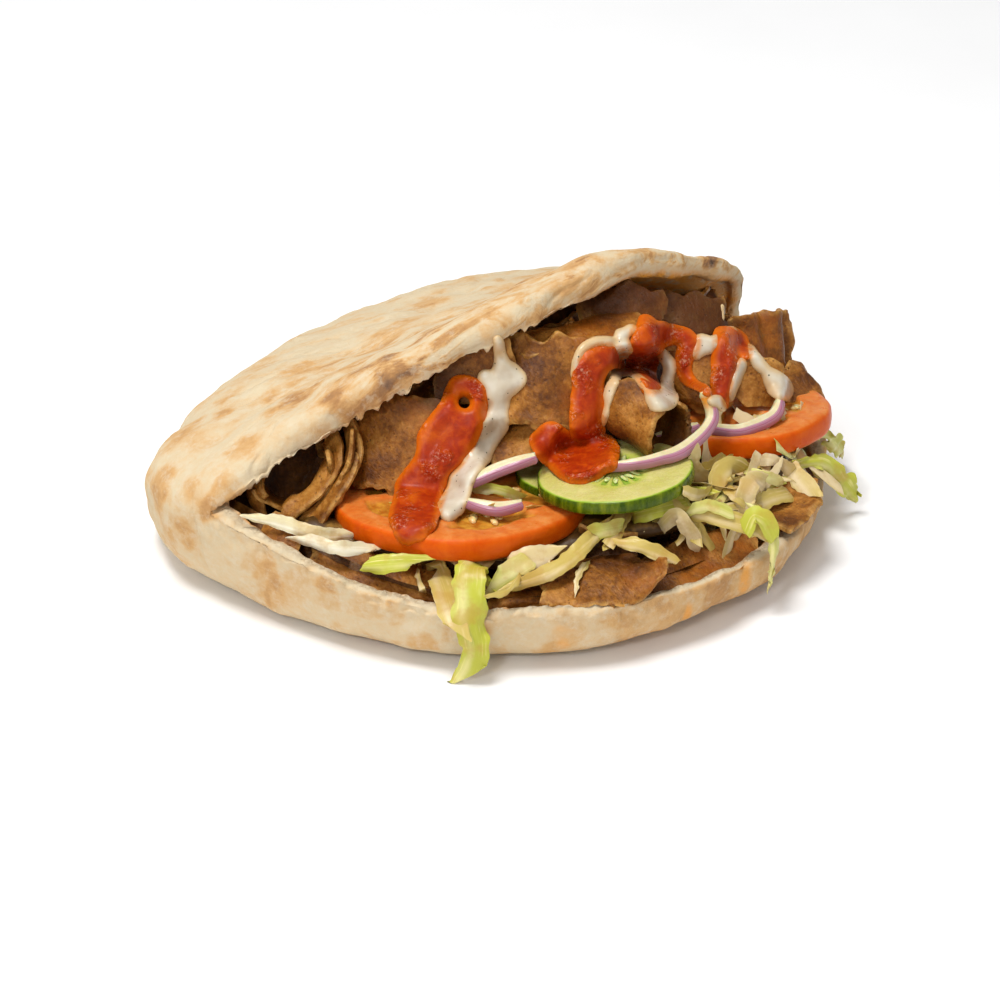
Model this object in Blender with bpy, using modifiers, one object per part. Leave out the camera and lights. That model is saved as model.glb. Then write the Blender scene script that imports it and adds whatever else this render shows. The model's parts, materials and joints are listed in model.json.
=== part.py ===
"""A doner kebab sandwich: a round pitta slit along its front and stuffed with slices of doner meat,
lettuce, tomato, cucumber, red onion and two sauces. Sizes here are in millimetres and degrees, and a
mesh takes them in metres. +X runs to the right end, -Y to the open front, and +Z is up. Until the last
step the origin is on the table below the middle of the pitta, whose flat underside is at Z = 0."""

import math

import bmesh
import bpy
import numpy as np
from mathutils import Matrix, Vector
from mathutils.bvhtree import BVHTree

MM = 0.001
FLAT_ANGLE = 3  # faces that meet at less than this become one, so that cuts leave few slivers
CLEARANCE = 0.45  # how far a piece's cutter stands off its faces, so that its neighbours keep clear

# The pitta. The slit runs from the front left corner, round the front and the right end, to the back right.
BREAD_WALL = 7.0  # thickness of each half
FRONT_CORNER = (-79, -74, 32)  # where the slit starts
BACK_CORNER = (80, 60, 24)  # where it ends
FOLD = [  # the closed side, from the back corner round the back and the left end
    BACK_CORNER, (48, 85, 21), (5, 91, 19), (-35, 73, 16), (-66, 42, 15),
    (-90, 4, 17), (-101, -34, 21), (-95, -58, 26), FRONT_CORNER,
]
LOWER_LIP = [  # the rim of the lower half along the slit
    FRONT_CORNER, (-56, -91, 28), (-28, -104, 22.5), (0, -108, 19.5), (30, -105, 19.5),
    (60, -91, 18.5), (87, -63, 16), (102, -20, 12), (99, 28, 17), BACK_CORNER,
]
UPPER_LIP = [  # the lower edge of the raised flap along the slit
    FRONT_CORNER, (-55, -63, 43), (-25, -51, 59), (4, -40, 69.5), (27, -25, 75.5),
    (44, -10, 79.5), (61, 8, 71.5), (78, 29, 56.5), BACK_CORNER,
]
SIDE_STEPS = 20  # faces along the closed side, and along the slit
OUTER_RINGS = (0.0, 0.4, 0.7, 0.88, 0.95, 0.985, 1.0)
INNER_RINGS = (0.0, 0.45, 0.75, 0.92, 1.0)
FLAT_SHARE = 0.75  # of the underside's radius
UNDERSIDE_POWER, UNDERSIDE_ROOT = 14, 2.5
DOME_POWER, DOME_ROOT = 6, 2.2
DOME_HEIGHT = 15.5  # of the flap above its edge, at the front and left
DOME_FADE = (25, 70)  # X over which the flap flattens towards its right tip
DOME_FADE_SHARE = 0.7

# The heap of meat in the pocket
HEAP_CLEARANCE = 1.2  # between the heap and the bread
HEAP_SETBACK = 10.0  # of its front under the flap's edge
HEAP_SHELF = 12.0  # its height behind the front rim
HEAP_PROFILE = (0.0, 0.15, 0.45, 0.75, 0.88, 1.0)  # share of the way from the rim to the flap
HEAP_WALL_START = 0.75  # where it turns up from the shelf
HEAP_OPEN_SPAN = 25.0  # the shelf is full depth where the slit is wider than this

# Each slice: middle, (length, width), and how it lies and bends. Tilt leans its face to the front, turn
# swings it to the right, roll drops its right end, and spin turns it in its own plane.
SLICE_THICKNESS = 2.8
SLICE_TWIST = 6  # of each end against the middle
SLICE_OVAL = 0.18  # how far its outline is drawn in at the corners
SLICES = {
    "meat_left_roll": dict(at=(-53, -57, 25), size=(46, 22), bend=230, tilt=-22, turn=-4, roll=-16),
    "meat_left_fold": dict(at=(-40.5, -54, 34), size=(31, 20), bend=69, tilt=-22, turn=-4, roll=-67),
    "meat_front_left": dict(at=(-22, -54, 42), size=(36, 32), bend=-45, tilt=62, spin=-14, turn=-8),
    "meat_under_lip": dict(at=(-4, -40, 60), size=(24, 18), bend=-30, tilt=66, spin=10),
    "meat_low_curl": dict(at=(9, -45, 40), size=(22, 16), bend=60, tilt=30, spin=25, roll=-25),
    "meat_middle": dict(at=(20, -41, 57), size=(36, 28), bend=-95, tilt=60, spin=-8, turn=6),
    "meat_middle_roll": dict(at=(43, -42, 38), size=(46, 26), bend=300, tilt=8, turn=40, roll=20),
    "meat_top_shelf": dict(at=(28, -26, 65), size=(40, 16), bend=-18, tilt=4, turn=14, roll=-4),
    "meat_top_fold": dict(at=(40, -14, 66), size=(27, 17), bend=-50, tilt=52, spin=8, roll=-4),
    "meat_top_right": dict(at=(61, -3, 57), size=(27, 17), bend=-35, tilt=48, turn=10, roll=8),
    "meat_right_inner": dict(at=(62, -14, 45), size=(22, 24), bend=-60, tilt=64, turn=-12, spin=6),
    "meat_right_torn": dict(at=(79, -12, 41), size=(19, 15), bend=-50, tilt=58, turn=14, spin=-12),
    "meat_right_pleat": dict(at=(84, 11, 40), size=(36, 23), bend=-60, pleat=40, tilt=62, turn=24, roll=26),
    "meat_right_tip": dict(at=(93, 4, 31), size=(18, 18), bend=-30, tilt=20, turn=30, roll=10),
    "meat_rim_left": dict(at=(-27, -89, 20), size=(52, 20), bend=-20, tilt=16, turn=-12, roll=12),
    "meat_rim_crumb": dict(at=(-57, -79, 30.5), size=(15, 11), bend=20, tilt=12, turn=-30, roll=4),
    "meat_rim_middle": dict(at=(10, -96, 17), size=(20, 12), bend=-20, tilt=10),
    "meat_rim_big": dict(at=(33, -93, 22), size=(38, 23), bend=16, tilt=9, turn=5, roll=-4, curl=45),
    "meat_rim_roll": dict(at=(34, -80, 19), size=(26, 18), bend=250, tilt=4, turn=80, roll=-30),
    "meat_rim_right": dict(at=(61, -77, 18), size=(42, 20), bend=-18, tilt=10, turn=35, roll=-2),
    "meat_rim_far": dict(at=(86, -47, 20.5), size=(30, 24), bend=20, tilt=6, turn=58, roll=-4),
}

# Vegetable slices: middle of the top face, radius, thickness, and their slope
DISC_SIDES = 24
DISC_ROUNDING = 0.22  # of the cut edge, as a share of the thickness
DISCS = {
    "tomato_left": dict(at=(-8, -58, 30), radius=36, thickness=7, tilt=-9),
    "tomato_right": dict(at=(74, -8, 31), radius=29, thickness=7, tilt=-9, roll=-2),
    "cucumber_front": dict(at=(36.6, -60, 38.6), radius=22.5, thickness=4.2, tilt=-7, roll=-6),
    "cucumber_back": dict(at=(30, -42, 29.5), radius=22, thickness=4, tilt=-7, roll=-2),
}

# Onion: a curved strip of the ring, with its middle line, height and thickness
ONION_HEIGHT, ONION_THICKNESS = 4.0, 2.8
ONIONS = {
    "onion_long": [(34, -63, 42), (47, -62, 43), (58, -55, 44), (65, -45, 47), (63, -41, 54)],
    "onion_left": [(-5, -66, 38), (4, -63, 41), (14, -60, 43)],
    "onion_low": [(-6, -73, 36), (2, -76, 35.5), (10, -74, 36)],
    "onion_right": [(64, -32, 37), (74, -33, 36.5), (84, -26, 37), (87, -20, 39)],
    "onion_inner": [(49, -40, 38), (56, -38, 39), (62, -33, 38)],
}

# Strands of lettuce that hang clear of the heap: middle line and width
LETTUCE_THICKNESS = 1.1
STRANDS = {
    "lettuce_drop": dict(
        path=[(-3, -92, 27), (-4.7, -103, 31), (-4.7, -111, 21), (-3, -113, 11), (-6, -113, 2.2)], width=10,
    ),
    "lettuce_pale_left": dict(
        path=[(-70, -79, 35), (-58, -81, 33.5), (-47, -83, 31), (-38, -79, 29)], width=5,
    ),
    "lettuce_pale_low": dict(path=[(-55, -84, 31), (-43, -88, 30), (-30, -86, 28)], width=4.5),
    "lettuce_green_left": dict(path=[(-35, -93, 27), (-27, -95, 29), (-18, -94, 29)], width=6),
    "lettuce_long": dict(path=[(4, -100, 24), (18, -96, 27), (28, -86, 30), (34, -76, 32)], width=7),
    "lettuce_leaf": dict(path=[(4, -94, 26), (12, -94, 29), (20, -90, 29)], width=11),
    "lettuce_tail": dict(path=[(36, -86, 30), (44, -88, 30), (54, -90, 26)], width=5),
    "lettuce_sweep": dict(path=[(55, -70, 31), (66, -74, 31), (76, -73, 27), (80, -72, 22)], width=6),
    "lettuce_hanging": dict(path=[(75, -66, 31), (80, -71, 28.5), (82, -75.5, 22), (81, -77, 9)], width=3),
    "lettuce_right": dict(path=[(90, -34, 25), (100, -27, 22), (107, -23, 13), (112, -21, 5)], width=6),
    "lettuce_far_right": dict(path=[(94, -20, 27), (102, -10, 22), (107, 0, 12), (110, 7, 5)], width=6),
}

# The bed of shredded lettuce under the vegetables: middle line, half width and half height
BED_PATH = [
    (-52, -70, 26), (-25, -77, 24), (5, -78, 22), (35, -69, 24), (62, -56, 25), (80, -34, 24), (84, -8, 23),
]
BED_HALF_WIDTH, BED_HALF_HEIGHT = 12.0, 6.0

# Sauce: streaks drawn on a plane that faces the open front, as (X, distance up the plane, width), and
# pressed along that plane's normal on to what lies there
SAUCE_SLOPE = 59  # of the plane
SAUCE_THICKNESS = 2.6
SAUCE_GRIP = 1.5  # how far its underside goes down into the dips of what lies there
SAUCE_ACROSS = (-1, -0.5, 0.5, 1)  # places across a streak, as shares of its half width
CHILLI = {
    "chilli_left": [(-7, 26, 9), (-7, 20, 14), (-11, 12, 16), (-16, 4, 15), (-19, -4, 14), (-22, -12, 11)],
    "chilli_middle": [(28, 37, 7), (28.5, 28, 8), (28, 20, 8), (26, 14, 12)],
    "chilli_pool": [(13, 6, 10), (20, 7, 17), (27, 6, 17), (33, 5, 9)],
    "chilli_right": [(47, 26, 6), (45, 34, 7), (49, 41, 7), (57, 41, 8), (61, 34, 6), (61, 29, 5)],
    "chilli_far_right": [(77, 40, 8), (71, 42, 9), (70, 33, 7), (69, 24, 6)],
}
WHITE = {
    "yoghurt_left": [
        (6.5, 32, 7), (4, 25, 8), (2, 18, 6), (-2, 11, 6), (-7, 4, 6.5), (-9, -4, 7), (-9, -9, 8),
    ],
    "yoghurt_middle": [(42, 34, 5), (37, 31, 7), (34, 25, 6), (32.5, 16, 4)],
    "yoghurt_loop": [(42, 30, 5), (46, 22, 6), (50, 21, 7), (54, 28, 6), (51, 38, 4)],
    "yoghurt_right": [(66, 42, 6), (71, 45, 3), (76, 42, 4), (81, 36, 4), (84, 31, 5), (88, 27, 8)],
    "yoghurt_leg": [(74, 36, 4), (73, 29, 4.5), (70, 24, 3)],
}

COLOURS = {
    "bread": ((0.78, 0.62, 0.42), 0.8),
    "meat": ((0.27, 0.15, 0.08), 0.6),
    "tomato": ((0.72, 0.14, 0.03), 0.3),
    "cucumber": ((0.55, 0.68, 0.28), 0.35),
    "onion": ((0.62, 0.42, 0.48), 0.35),
    "lettuce": ((0.62, 0.70, 0.34), 0.45),
    "chilli": ((0.50, 0.05, 0.01), 0.2),
    "yoghurt": ((0.85, 0.82, 0.74), 0.3),
}


def new_collection(name):
    collection = bpy.data.collections.new(name)
    bpy.context.scene.collection.children.link(collection)
    return collection


def smooth_curve(points, steps):
    """Points along a Catmull-Rom curve through the given points, both ends included."""
    points = [np.array(p, float) for p in points]
    found = []
    for t in np.linspace(0, len(points) - 1, steps + 1):
        i = min(int(t), len(points) - 2)
        f = t - i
        a, b, c, d = (points[min(max(k, 0), len(points) - 1)] for k in range(i - 1, i + 3))
        bend = (2 * a - 5 * b + 4 * c - d) * f**2 + (3 * b - a - 3 * c + d) * f**3
        found.append(0.5 * (2 * b + (c - a) * f + bend))
    return np.array(found)


def waves(seed, at, lumps):
    """A smooth seeded wobble between about -1 and 1 at each place along a line from -1 to 1."""
    rng = np.random.default_rng(seed)
    phase = rng.uniform(0, 2 * math.pi, 3)
    return sum(np.sin(at * lumps * (k + 1) + phase[k]) / (k + 1) for k in range(3)) / 1.6


def slit_loop(lip):
    """A closed loop of points: along the fold from the back corner, then along one lip of the slit."""
    return np.vstack([smooth_curve(FOLD, SIDE_STEPS)[:-1], smooth_curve(lip, SIDE_STEPS)[:-1]])


def inset(loop, distance):
    """The loop moved inwards in plan."""
    along = np.roll(loop, -1, axis=0) - np.roll(loop, 1, axis=0)
    inward = np.stack([along[:, 1], -along[:, 0], 0 * along[:, 0]], axis=1)
    middle = loop.mean(axis=0)
    if np.sum(inward * (middle - loop)) < 0:
        inward = -inward
    return loop + distance * inward / np.linalg.norm(inward, axis=1, keepdims=True)


def soap_film(loop, rings):
    """Rings of points that span the loop as a soap film would, from its middle, 0, to the loop, 1."""
    spectrum = np.fft.fft(loop, axis=0)
    order = np.abs(np.fft.fftfreq(len(loop), 1 / len(loop)))
    return np.array([np.real(np.fft.ifft(spectrum * (r**order)[:, None], axis=0)) for r in rings])


def shoulder(rings, power, root):
    """1 in the middle and 0 at the edge, level at first and then steep, as a loaf's side is."""
    return np.maximum(0, 1 - np.array(rings) ** power)[:, None] ** (1 / root)


def dome_height(x):
    fade = np.clip((x - DOME_FADE[0]) / (DOME_FADE[1] - DOME_FADE[0]), 0, 1)
    fade = fade * fade * (3 - 2 * fade)
    return DOME_HEIGHT * (1 - DOME_FADE_SHARE * fade)


def lower_sheet(loop, rings, floor):
    """A surface that is level at the floor's height and turns up to the loop at its edge."""
    film = soap_film(loop, rings)
    rise = 1 - shoulder(rings, UNDERSIDE_POWER, UNDERSIDE_ROOT)
    rise[np.array(rings) < FLAT_SHARE] = 0
    film[:, :, 2] = floor + (loop[:, 2] - floor) * rise
    return film


def upper_sheet(loop, rings, depth):
    """The flap's surface: a dome that rises from the loop, its crown lowered by the depth."""
    film = soap_film(loop, rings)
    film[:, :, 2] += (dome_height(film[:, :, 0]) - depth) * shoulder(rings, DOME_POWER, DOME_ROOT)
    return film


def add_strip(bm, rows, closed=True):
    """Adds faces between each row of points and the next, and returns the rows of vertices."""
    made = [[bm.verts.new(Vector(p) * MM) for p in row] for row in rows]
    count = len(rows[0])
    for near, far in zip(made, made[1:]):
        for i in range(count if closed else count - 1):
            k = (i + 1) % count
            bm.faces.new([near[i], near[k], far[k], far[i]])
    return made


def mesh_of(name, bm, weld=0.002):
    """A closed mesh with its faces pointing out, whose points are joined where they meet."""
    if weld:
        bmesh.ops.remove_doubles(bm, verts=bm.verts, dist=weld * MM)
        bmesh.ops.dissolve_degenerate(bm, dist=weld * MM, edges=bm.edges)
    bmesh.ops.recalc_face_normals(bm, faces=bm.faces)
    mesh = bpy.data.meshes.new(name)
    bm.to_mesh(mesh)
    bm.free()
    return mesh


def placed(at=(0, 0, 0), turn=0, tilt=0, roll=0, spin=0):
    """The place of a piece: spun in its own plane, rolled, tilted, turned and then moved."""
    steps = ((turn, "Z"), (tilt, "X"), (roll, "Y"), (spin, "Z"))
    matrix = Matrix.Translation(Vector(at) * MM)
    for angle, axis in steps:
        matrix = matrix @ Matrix.Rotation(math.radians(angle), 4, axis)
    return matrix


def evaluated(obj):
    """A copy of the object's mesh as its modifiers leave it."""
    bpy.context.view_layer.update()
    graph = bpy.context.evaluated_depsgraph_get()
    return bpy.data.meshes.new_from_object(obj.evaluated_get(graph), depsgraph=graph)


def volume(verts):
    """The volume inside a body's triangles."""
    faces = {face for vert in verts for face in vert.link_faces}
    return sum(f.verts[0].co.dot(f.verts[1].co.cross(f.verts[2].co)) for f in faces)


def largest_body(bm):
    """Removes everything but the largest connected body."""
    left = set(bm.verts)
    bodies = []
    while left:
        stack = [left.pop()]
        body = set(stack)
        while stack:
            for edge in stack.pop().link_edges:
                for vert in edge.verts:
                    if vert in left:
                        left.remove(vert)
                        body.add(vert)
                        stack.append(vert)
        bodies.append(body)
    keep = max(bodies, key=volume)
    bmesh.ops.delete(bm, geom=[v for v in bm.verts if v not in keep], context="VERTS")


def box_of(obj):
    corners = np.array([obj.matrix_world @ v.co for v in obj.data.vertices])
    return corners.min(axis=0), corners.max(axis=0)


def boxes_meet(a, b):
    return np.all(a[0] < b[1]) and np.all(b[0] < a[1])


def grown_copy(obj):
    """A wire copy of the object that stands off its faces, to cut its neighbours with."""
    bm = bmesh.new()
    bm.from_mesh(obj.data)
    bmesh.ops.recalc_face_normals(bm, faces=bm.faces)
    bm.normal_update()
    moves = [v.normal * CLEARANCE * MM for v in bm.verts]
    for vert, move in zip(bm.verts, moves):
        vert.co += move
    cutter = bpy.data.objects.new(obj.name + "_cutter", mesh_of(obj.name + "_cutter", bm, weld=0))
    CUTTERS.objects.link(cutter)
    cutter.matrix_world = obj.matrix_world
    cutter.hide_render = True
    cutter.display_type = "WIRE"
    return cutter


def material(name, family):
    colour, roughness = COLOURS[family]
    made = bpy.data.materials.new(name)
    made.use_nodes = True
    shader = made.node_tree.nodes["Principled BSDF"]
    shader.inputs["Base Color"].default_value = (*colour, 1)
    shader.inputs["Roughness"].default_value = roughness
    shader.inputs["Metallic"].default_value = 0
    return made


def add_piece(name, mesh, matrix, family, thickness=None):
    """Adds a piece, thickened if it is a sheet, and cut clear of every piece that is there already."""
    obj = bpy.data.objects.new(name, mesh)
    PIECES.objects.link(obj)
    obj.matrix_world = matrix
    if thickness:
        shell = obj.modifiers.new("Thickness", "SOLIDIFY")
        shell.thickness = thickness * MM
        shell.offset = 0
    obj.data = evaluated(obj)
    obj.modifiers.clear()
    for cutter in list(CUTTERS.objects):
        if boxes_meet(box_of(obj), box_of(cutter)):
            trim = obj.modifiers.new("Cut", "BOOLEAN")
            trim.operation = "DIFFERENCE"
            trim.object = cutter
            trim.solver = "MANIFOLD"
    obj.data = evaluated(obj)
    obj.modifiers.clear()
    bm = bmesh.new()
    bm.from_mesh(obj.data)
    bmesh.ops.dissolve_limit(bm, angle_limit=math.radians(FLAT_ANGLE), verts=bm.verts, edges=bm.edges)
    bmesh.ops.triangulate(bm, faces=bm.faces)
    largest_body(bm)
    obj.data = mesh_of(name, bm, weld=0)
    obj.data.name = name
    obj.data.materials.append(material(name, family))
    obj.data.set_sharp_from_angle(angle=math.radians(40))
    grown_copy(obj)
    return obj


def make_bread():
    """The pitta: an outer and an inner surface for each half, joined along the torn edge of the slit."""
    outer = {"low": slit_loop(LOWER_LIP), "high": slit_loop(UPPER_LIP)}
    fold_inner = inset(outer["low"], BREAD_WALL)
    bm = bmesh.new()
    slit = slice(SIDE_STEPS, None)
    for half in ("low", "high"):
        inner = inset(outer[half], BREAD_WALL)
        inner[: SIDE_STEPS + 1] = fold_inner[: SIDE_STEPS + 1]
        inner[0] = fold_inner[0]
        if half == "low":
            skin = lower_sheet(outer[half], OUTER_RINGS, 0)
            lining = lower_sheet(inner, INNER_RINGS, BREAD_WALL)
        else:
            skin = upper_sheet(outer[half], OUTER_RINGS, 0)
            lining = upper_sheet(inner, INNER_RINGS, BREAD_WALL)
        add_strip(bm, skin)
        add_strip(bm, lining)
        edge = [np.vstack([row[slit], row[:1]]) for row in (outer[half], inner)]
        add_strip(bm, edge, closed=False)
    return add_piece("bread", mesh_of("bread", bm), Matrix(), "bread")


def make_heap():
    """The meat that fills the pocket: it lines both halves and slopes between the two lips of the slit."""
    depth = BREAD_WALL + HEAP_CLEARANCE
    low = inset(slit_loop(LOWER_LIP), depth)
    high = inset(slit_loop(UPPER_LIP), depth)
    back = inset(high, HEAP_SETBACK) - high
    along = np.linspace(0, math.pi, SIDE_STEPS + 1)[:-1]
    high[SIDE_STEPS:] += back[SIDE_STEPS:] * np.sqrt(np.sin(along))[:, None]
    high[: SIDE_STEPS + 1] = low[: SIDE_STEPS + 1]
    high[0] = low[0]
    floor = lower_sheet(low, INNER_RINGS, depth)
    roof = upper_sheet(high, INNER_RINGS, depth)
    bm = bmesh.new()
    add_strip(bm, floor)
    add_strip(bm, roof)
    slit = slice(SIDE_STEPS, None)
    near = np.vstack([low[slit], low[:1]])
    far = np.vstack([high[slit], high[:1]])
    rows = []
    for share in HEAP_PROFILE:
        row = near + (far - near) * share
        climb = max(0, (share - HEAP_WALL_START) / (1 - HEAP_WALL_START))
        shelf = np.minimum(near[:, 2], HEAP_SHELF)
        ends = 0 if share in (0, 1) else 1
        height = shelf + (far[:, 2] - shelf) * climb
        span = np.linalg.norm((far - near)[:, :2], axis=1)
        open_here = ends * np.clip(span / HEAP_OPEN_SPAN, 0, 1)
        row[:, 2] += (height - row[:, 2]) * open_here
        rows.append(row)
    add_strip(bm, rows, closed=False)
    return add_piece("meat_heap", mesh_of("meat_heap", bm), Matrix(), "meat")


def grid_mesh(name, points):
    """An open sheet whose rows and columns of vertices lie at the points."""
    rows, columns = points.shape[:2]
    bm = bmesh.new()
    bmesh.ops.create_grid(bm, x_segments=columns - 1, y_segments=rows - 1, size=1)
    for vert in bm.verts:
        column = round((vert.co.x + 1) / 2 * (columns - 1))
        row = round((vert.co.y + 1) / 2 * (rows - 1))
        vert.co = Vector(points[row, column]) * MM
    mesh = bpy.data.meshes.new(name)
    bm.to_mesh(mesh)
    bm.free()
    return mesh


def slice_points(size, bend, seed, pleat=0, curl=0, rows=4):
    """A shaved slice in its own plane: uneven at its edges, and bent along its length."""
    length, width = size
    columns = 7 + 2 * int((abs(bend) + 2 * pleat) / 75)
    s = np.linspace(-1, 1, columns)
    t = np.linspace(-1, 1, rows)
    points = np.zeros((rows, columns, 3))
    for i, across in enumerate(t):
        reach = math.sqrt(1 - SLICE_OVAL * across**2) * (1 + 0.05 * waves(seed, across, 2.2))
        along = s * reach
        angle = bend / 2 * along + pleat * np.sin(3 * math.pi * along) + curl * np.maximum(along, 0) ** 3
        angle = np.radians(angle + SLICE_TWIST * across * along)
        step = length / 2 * reach * 2 / (columns - 1)
        x = np.concatenate([[0], np.cumsum(np.cos((angle[1:] + angle[:-1]) / 2) * step)])
        z = np.concatenate([[0], np.cumsum(np.sin((angle[1:] + angle[:-1]) / 2) * step)])
        half = columns // 2
        spread = np.sqrt(1 - SLICE_OVAL * s**2) * (1 + 0.06 * waves(seed + 1, s, 2.6))
        points[i, :, 0] = x - x[half]
        points[i, :, 1] = width / 2 * across * spread
        points[i, :, 2] = z - z[half] + 0.5 * waves(seed + 2, across + s, 1.5)
    return points


def make_slices():
    for seed, (name, slice_) in enumerate(SLICES.items()):
        shape = {key: slice_[key] for key in ("size", "bend", "pleat", "curl") if key in slice_}
        place = {key: slice_[key] for key in ("at", "turn", "tilt", "roll", "spin") if key in slice_}
        mesh = grid_mesh(name, slice_points(seed=seed * 10, **shape))
        add_piece(name, mesh, placed(**place), "meat", thickness=SLICE_THICKNESS)


def make_discs():
    """Tomato and cucumber slices, with their cut edges rounded."""
    for name, disc in DISCS.items():
        thickness = disc["thickness"]
        bm = bmesh.new()
        radius = disc["radius"] * MM
        bmesh.ops.create_cone(bm, cap_ends=True, segments=DISC_SIDES, radius1=radius, radius2=radius,
                              depth=thickness * MM)
        bmesh.ops.translate(bm, verts=bm.verts, vec=(0, 0, -thickness / 2 * MM))
        rims = [e for e in bm.edges if any(len(f.verts) > 4 for f in e.link_faces)]
        bmesh.ops.bevel(bm, geom=rims, offset=thickness * DISC_ROUNDING * MM, segments=1, affect="EDGES")
        place = {key: disc[key] for key in ("at", "turn", "tilt", "roll") if key in disc}
        add_piece(name, mesh_of(name, bm), placed(**place), name.split("_")[0])


def ribbon_points(path, width, facing):
    """A ribbon along a path, flat towards the facing direction and narrower at its two ends."""
    steps = 2 * (len(path) - 1) + 1
    line = smooth_curve(path, steps)
    along = np.gradient(line, axis=0)
    side = np.cross(along, np.array(facing, float))
    side /= np.linalg.norm(side, axis=1, keepdims=True)
    share = np.linspace(0, 1, steps + 1)
    half = width / 2 * (0.45 + 0.55 * np.sin(math.pi * np.clip(share, 0.08, 0.92)) ** 0.6)
    across = np.array([-1, 0, 1])
    return line[None, :, :] + across[:, None, None] * (side * half[:, None])[None, :, :]


def make_onions():
    for name, path in ONIONS.items():
        points = ribbon_points(path, ONION_HEIGHT, (0, -0.5, 0.87))
        add_piece(name, grid_mesh(name, points), Matrix(), "onion", thickness=ONION_THICKNESS)


def make_strands():
    for name, strand in STRANDS.items():
        points = ribbon_points(strand["path"], strand["width"], (0, -0.86, 0.51))
        add_piece(name, grid_mesh(name, points), Matrix(), "lettuce", thickness=LETTUCE_THICKNESS)


def make_bed():
    """The shredded lettuce under the vegetables, as one uneven sausage along the front."""
    steps, sides = 16, 8
    line = smooth_curve(BED_PATH, steps)
    along = np.gradient(line, axis=0)
    side = np.cross(along, (0, 0, 1.0))
    side /= np.linalg.norm(side, axis=1, keepdims=True)
    share = np.linspace(0, 1, steps + 1)
    taper = np.sqrt(np.clip(1 - (2 * share - 1) ** 6, 0.05, 1))
    turns = np.linspace(0, 2 * math.pi, sides, endpoint=False)
    rows = []
    for i in range(steps + 1):
        lump = 1 + 0.12 * waves(70 + i, np.cos(turns), 2)
        out = side[i] * BED_HALF_WIDTH
        ring = np.cos(turns)[:, None] * out + np.sin(turns)[:, None] * np.array([0, 0, BED_HALF_HEIGHT])
        rows.append(line[i] + ring * (lump * taper[i])[:, None])
    bm = bmesh.new()
    made = add_strip(bm, rows)
    bm.faces.new(made[0])
    bm.faces.new(made[-1])
    add_piece("lettuce_bed", mesh_of("lettuce_bed", bm), Matrix(), "lettuce")


def sauce_surface():
    """Everything that is there to be poured on, for measuring down to."""
    points, faces = [], []
    for obj in PIECES.objects:
        start = len(points)
        points += [obj.matrix_world @ v.co for v in obj.data.vertices]
        faces += [[start + i for i in f.vertices] for f in obj.data.polygons]
    return BVHTree.FromPolygons(points, faces)


def neighbours(grid):
    """The grid and its four copies moved by one place, for filling and smoothing."""
    padded = np.pad(grid, 1, mode="edge")
    sides = padded[:-2, 1:-1], padded[2:, 1:-1], padded[1:-1, :-2], padded[1:-1, 2:]
    return np.array([grid, *sides])


def streak_points(streak, up_slope):
    """Places on the slope's plane, in rows across the streak."""
    along = np.gradient(streak[:, :2], axis=0)
    side = np.stack([along[:, 1], -along[:, 0]], axis=1)
    side /= np.linalg.norm(side, axis=1, keepdims=True)
    share = np.linspace(0, 1, len(streak))
    taper = np.clip(np.minimum(share, 1 - share) * 8, 0.35, 1) ** 0.5
    half = (streak[:, 2] / 2 * taper)[:, None] * side
    places = streak[:, None, :2] + np.array(SAUCE_ACROSS)[None, :, None] * half[:, None, :]
    return places[..., :1] * np.array([1.0, 0, 0]) + places[..., 1:] * up_slope


def ground_lifts(plane, surface, outward):
    """How far what lies there stands out from the plane at each place, without its sudden steps."""
    reach = 200
    lifts = np.full(plane.shape[:2], np.nan)
    for place in np.ndindex(lifts.shape):
        hit = surface.ray_cast(Vector(plane[place] + outward * reach) * MM, Vector(-outward))
        if hit[0]:
            lifts[place] = reach - hit[3] / MM
    ground = np.where(np.isnan(lifts), np.nanmin(lifts), lifts)
    lifts = np.max(neighbours(ground), axis=0)
    for _ in range(2):
        lifts = np.mean(neighbours(lifts), axis=0)
    return np.maximum(lifts, ground)


def pour(name, streak, surface, family):
    """A streak of sauce, pressed on to the surface along the slope's normal, with a rounded back."""
    slope = math.radians(SAUCE_SLOPE)
    outward = np.array([0, -math.sin(slope), math.cos(slope)])
    up_slope = np.array([0, math.cos(slope), math.sin(slope)])
    plane = streak_points(smooth_curve(streak, 3 * (len(streak) - 1)), up_slope)
    lifts = ground_lifts(plane, surface, outward)
    back = SAUCE_THICKNESS * np.sqrt(1 - (np.array(SAUCE_ACROSS) * 0.9) ** 2)
    over = plane + (lifts + back)[..., None] * outward
    under = plane + (lifts - SAUCE_GRIP)[..., None] * outward
    bm = bmesh.new()
    made = add_strip(bm, [np.vstack([high, low[-2:0:-1]]) for high, low in zip(over, under)])
    bm.faces.new(made[0])
    bm.faces.new(made[-1])
    add_piece(name, mesh_of(name, bm), Matrix(), family)


def make_sauces():
    surface = sauce_surface()
    for name, streak in CHILLI.items():
        pour(name, streak, surface, "chilli")
    for name, streak in WHITE.items():
        pour(name, streak, surface, "yoghurt")


def stand_at_origin():
    """Moves every piece so that the origin is below the middle of the whole box, on the table."""
    boxes = [box_of(obj) for obj in PIECES.objects]
    low = np.min([b[0] for b in boxes], axis=0)
    high = np.max([b[1] for b in boxes], axis=0)
    shift = Vector((-(low[0] + high[0]) / 2, -(low[1] + high[1]) / 2, -low[2]))
    for obj in list(PIECES.objects) + list(CUTTERS.objects):
        obj.matrix_world = Matrix.Translation(shift) @ obj.matrix_world


for old in list(bpy.data.objects):
    bpy.data.objects.remove(old, do_unlink=True)
PIECES = new_collection("doner_kebab")
CUTTERS = new_collection("cutters")
make_bread()
make_discs()
make_heap()
make_bed()
make_slices()
make_onions()
make_strands()
make_sauces()
stand_at_origin()
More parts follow.
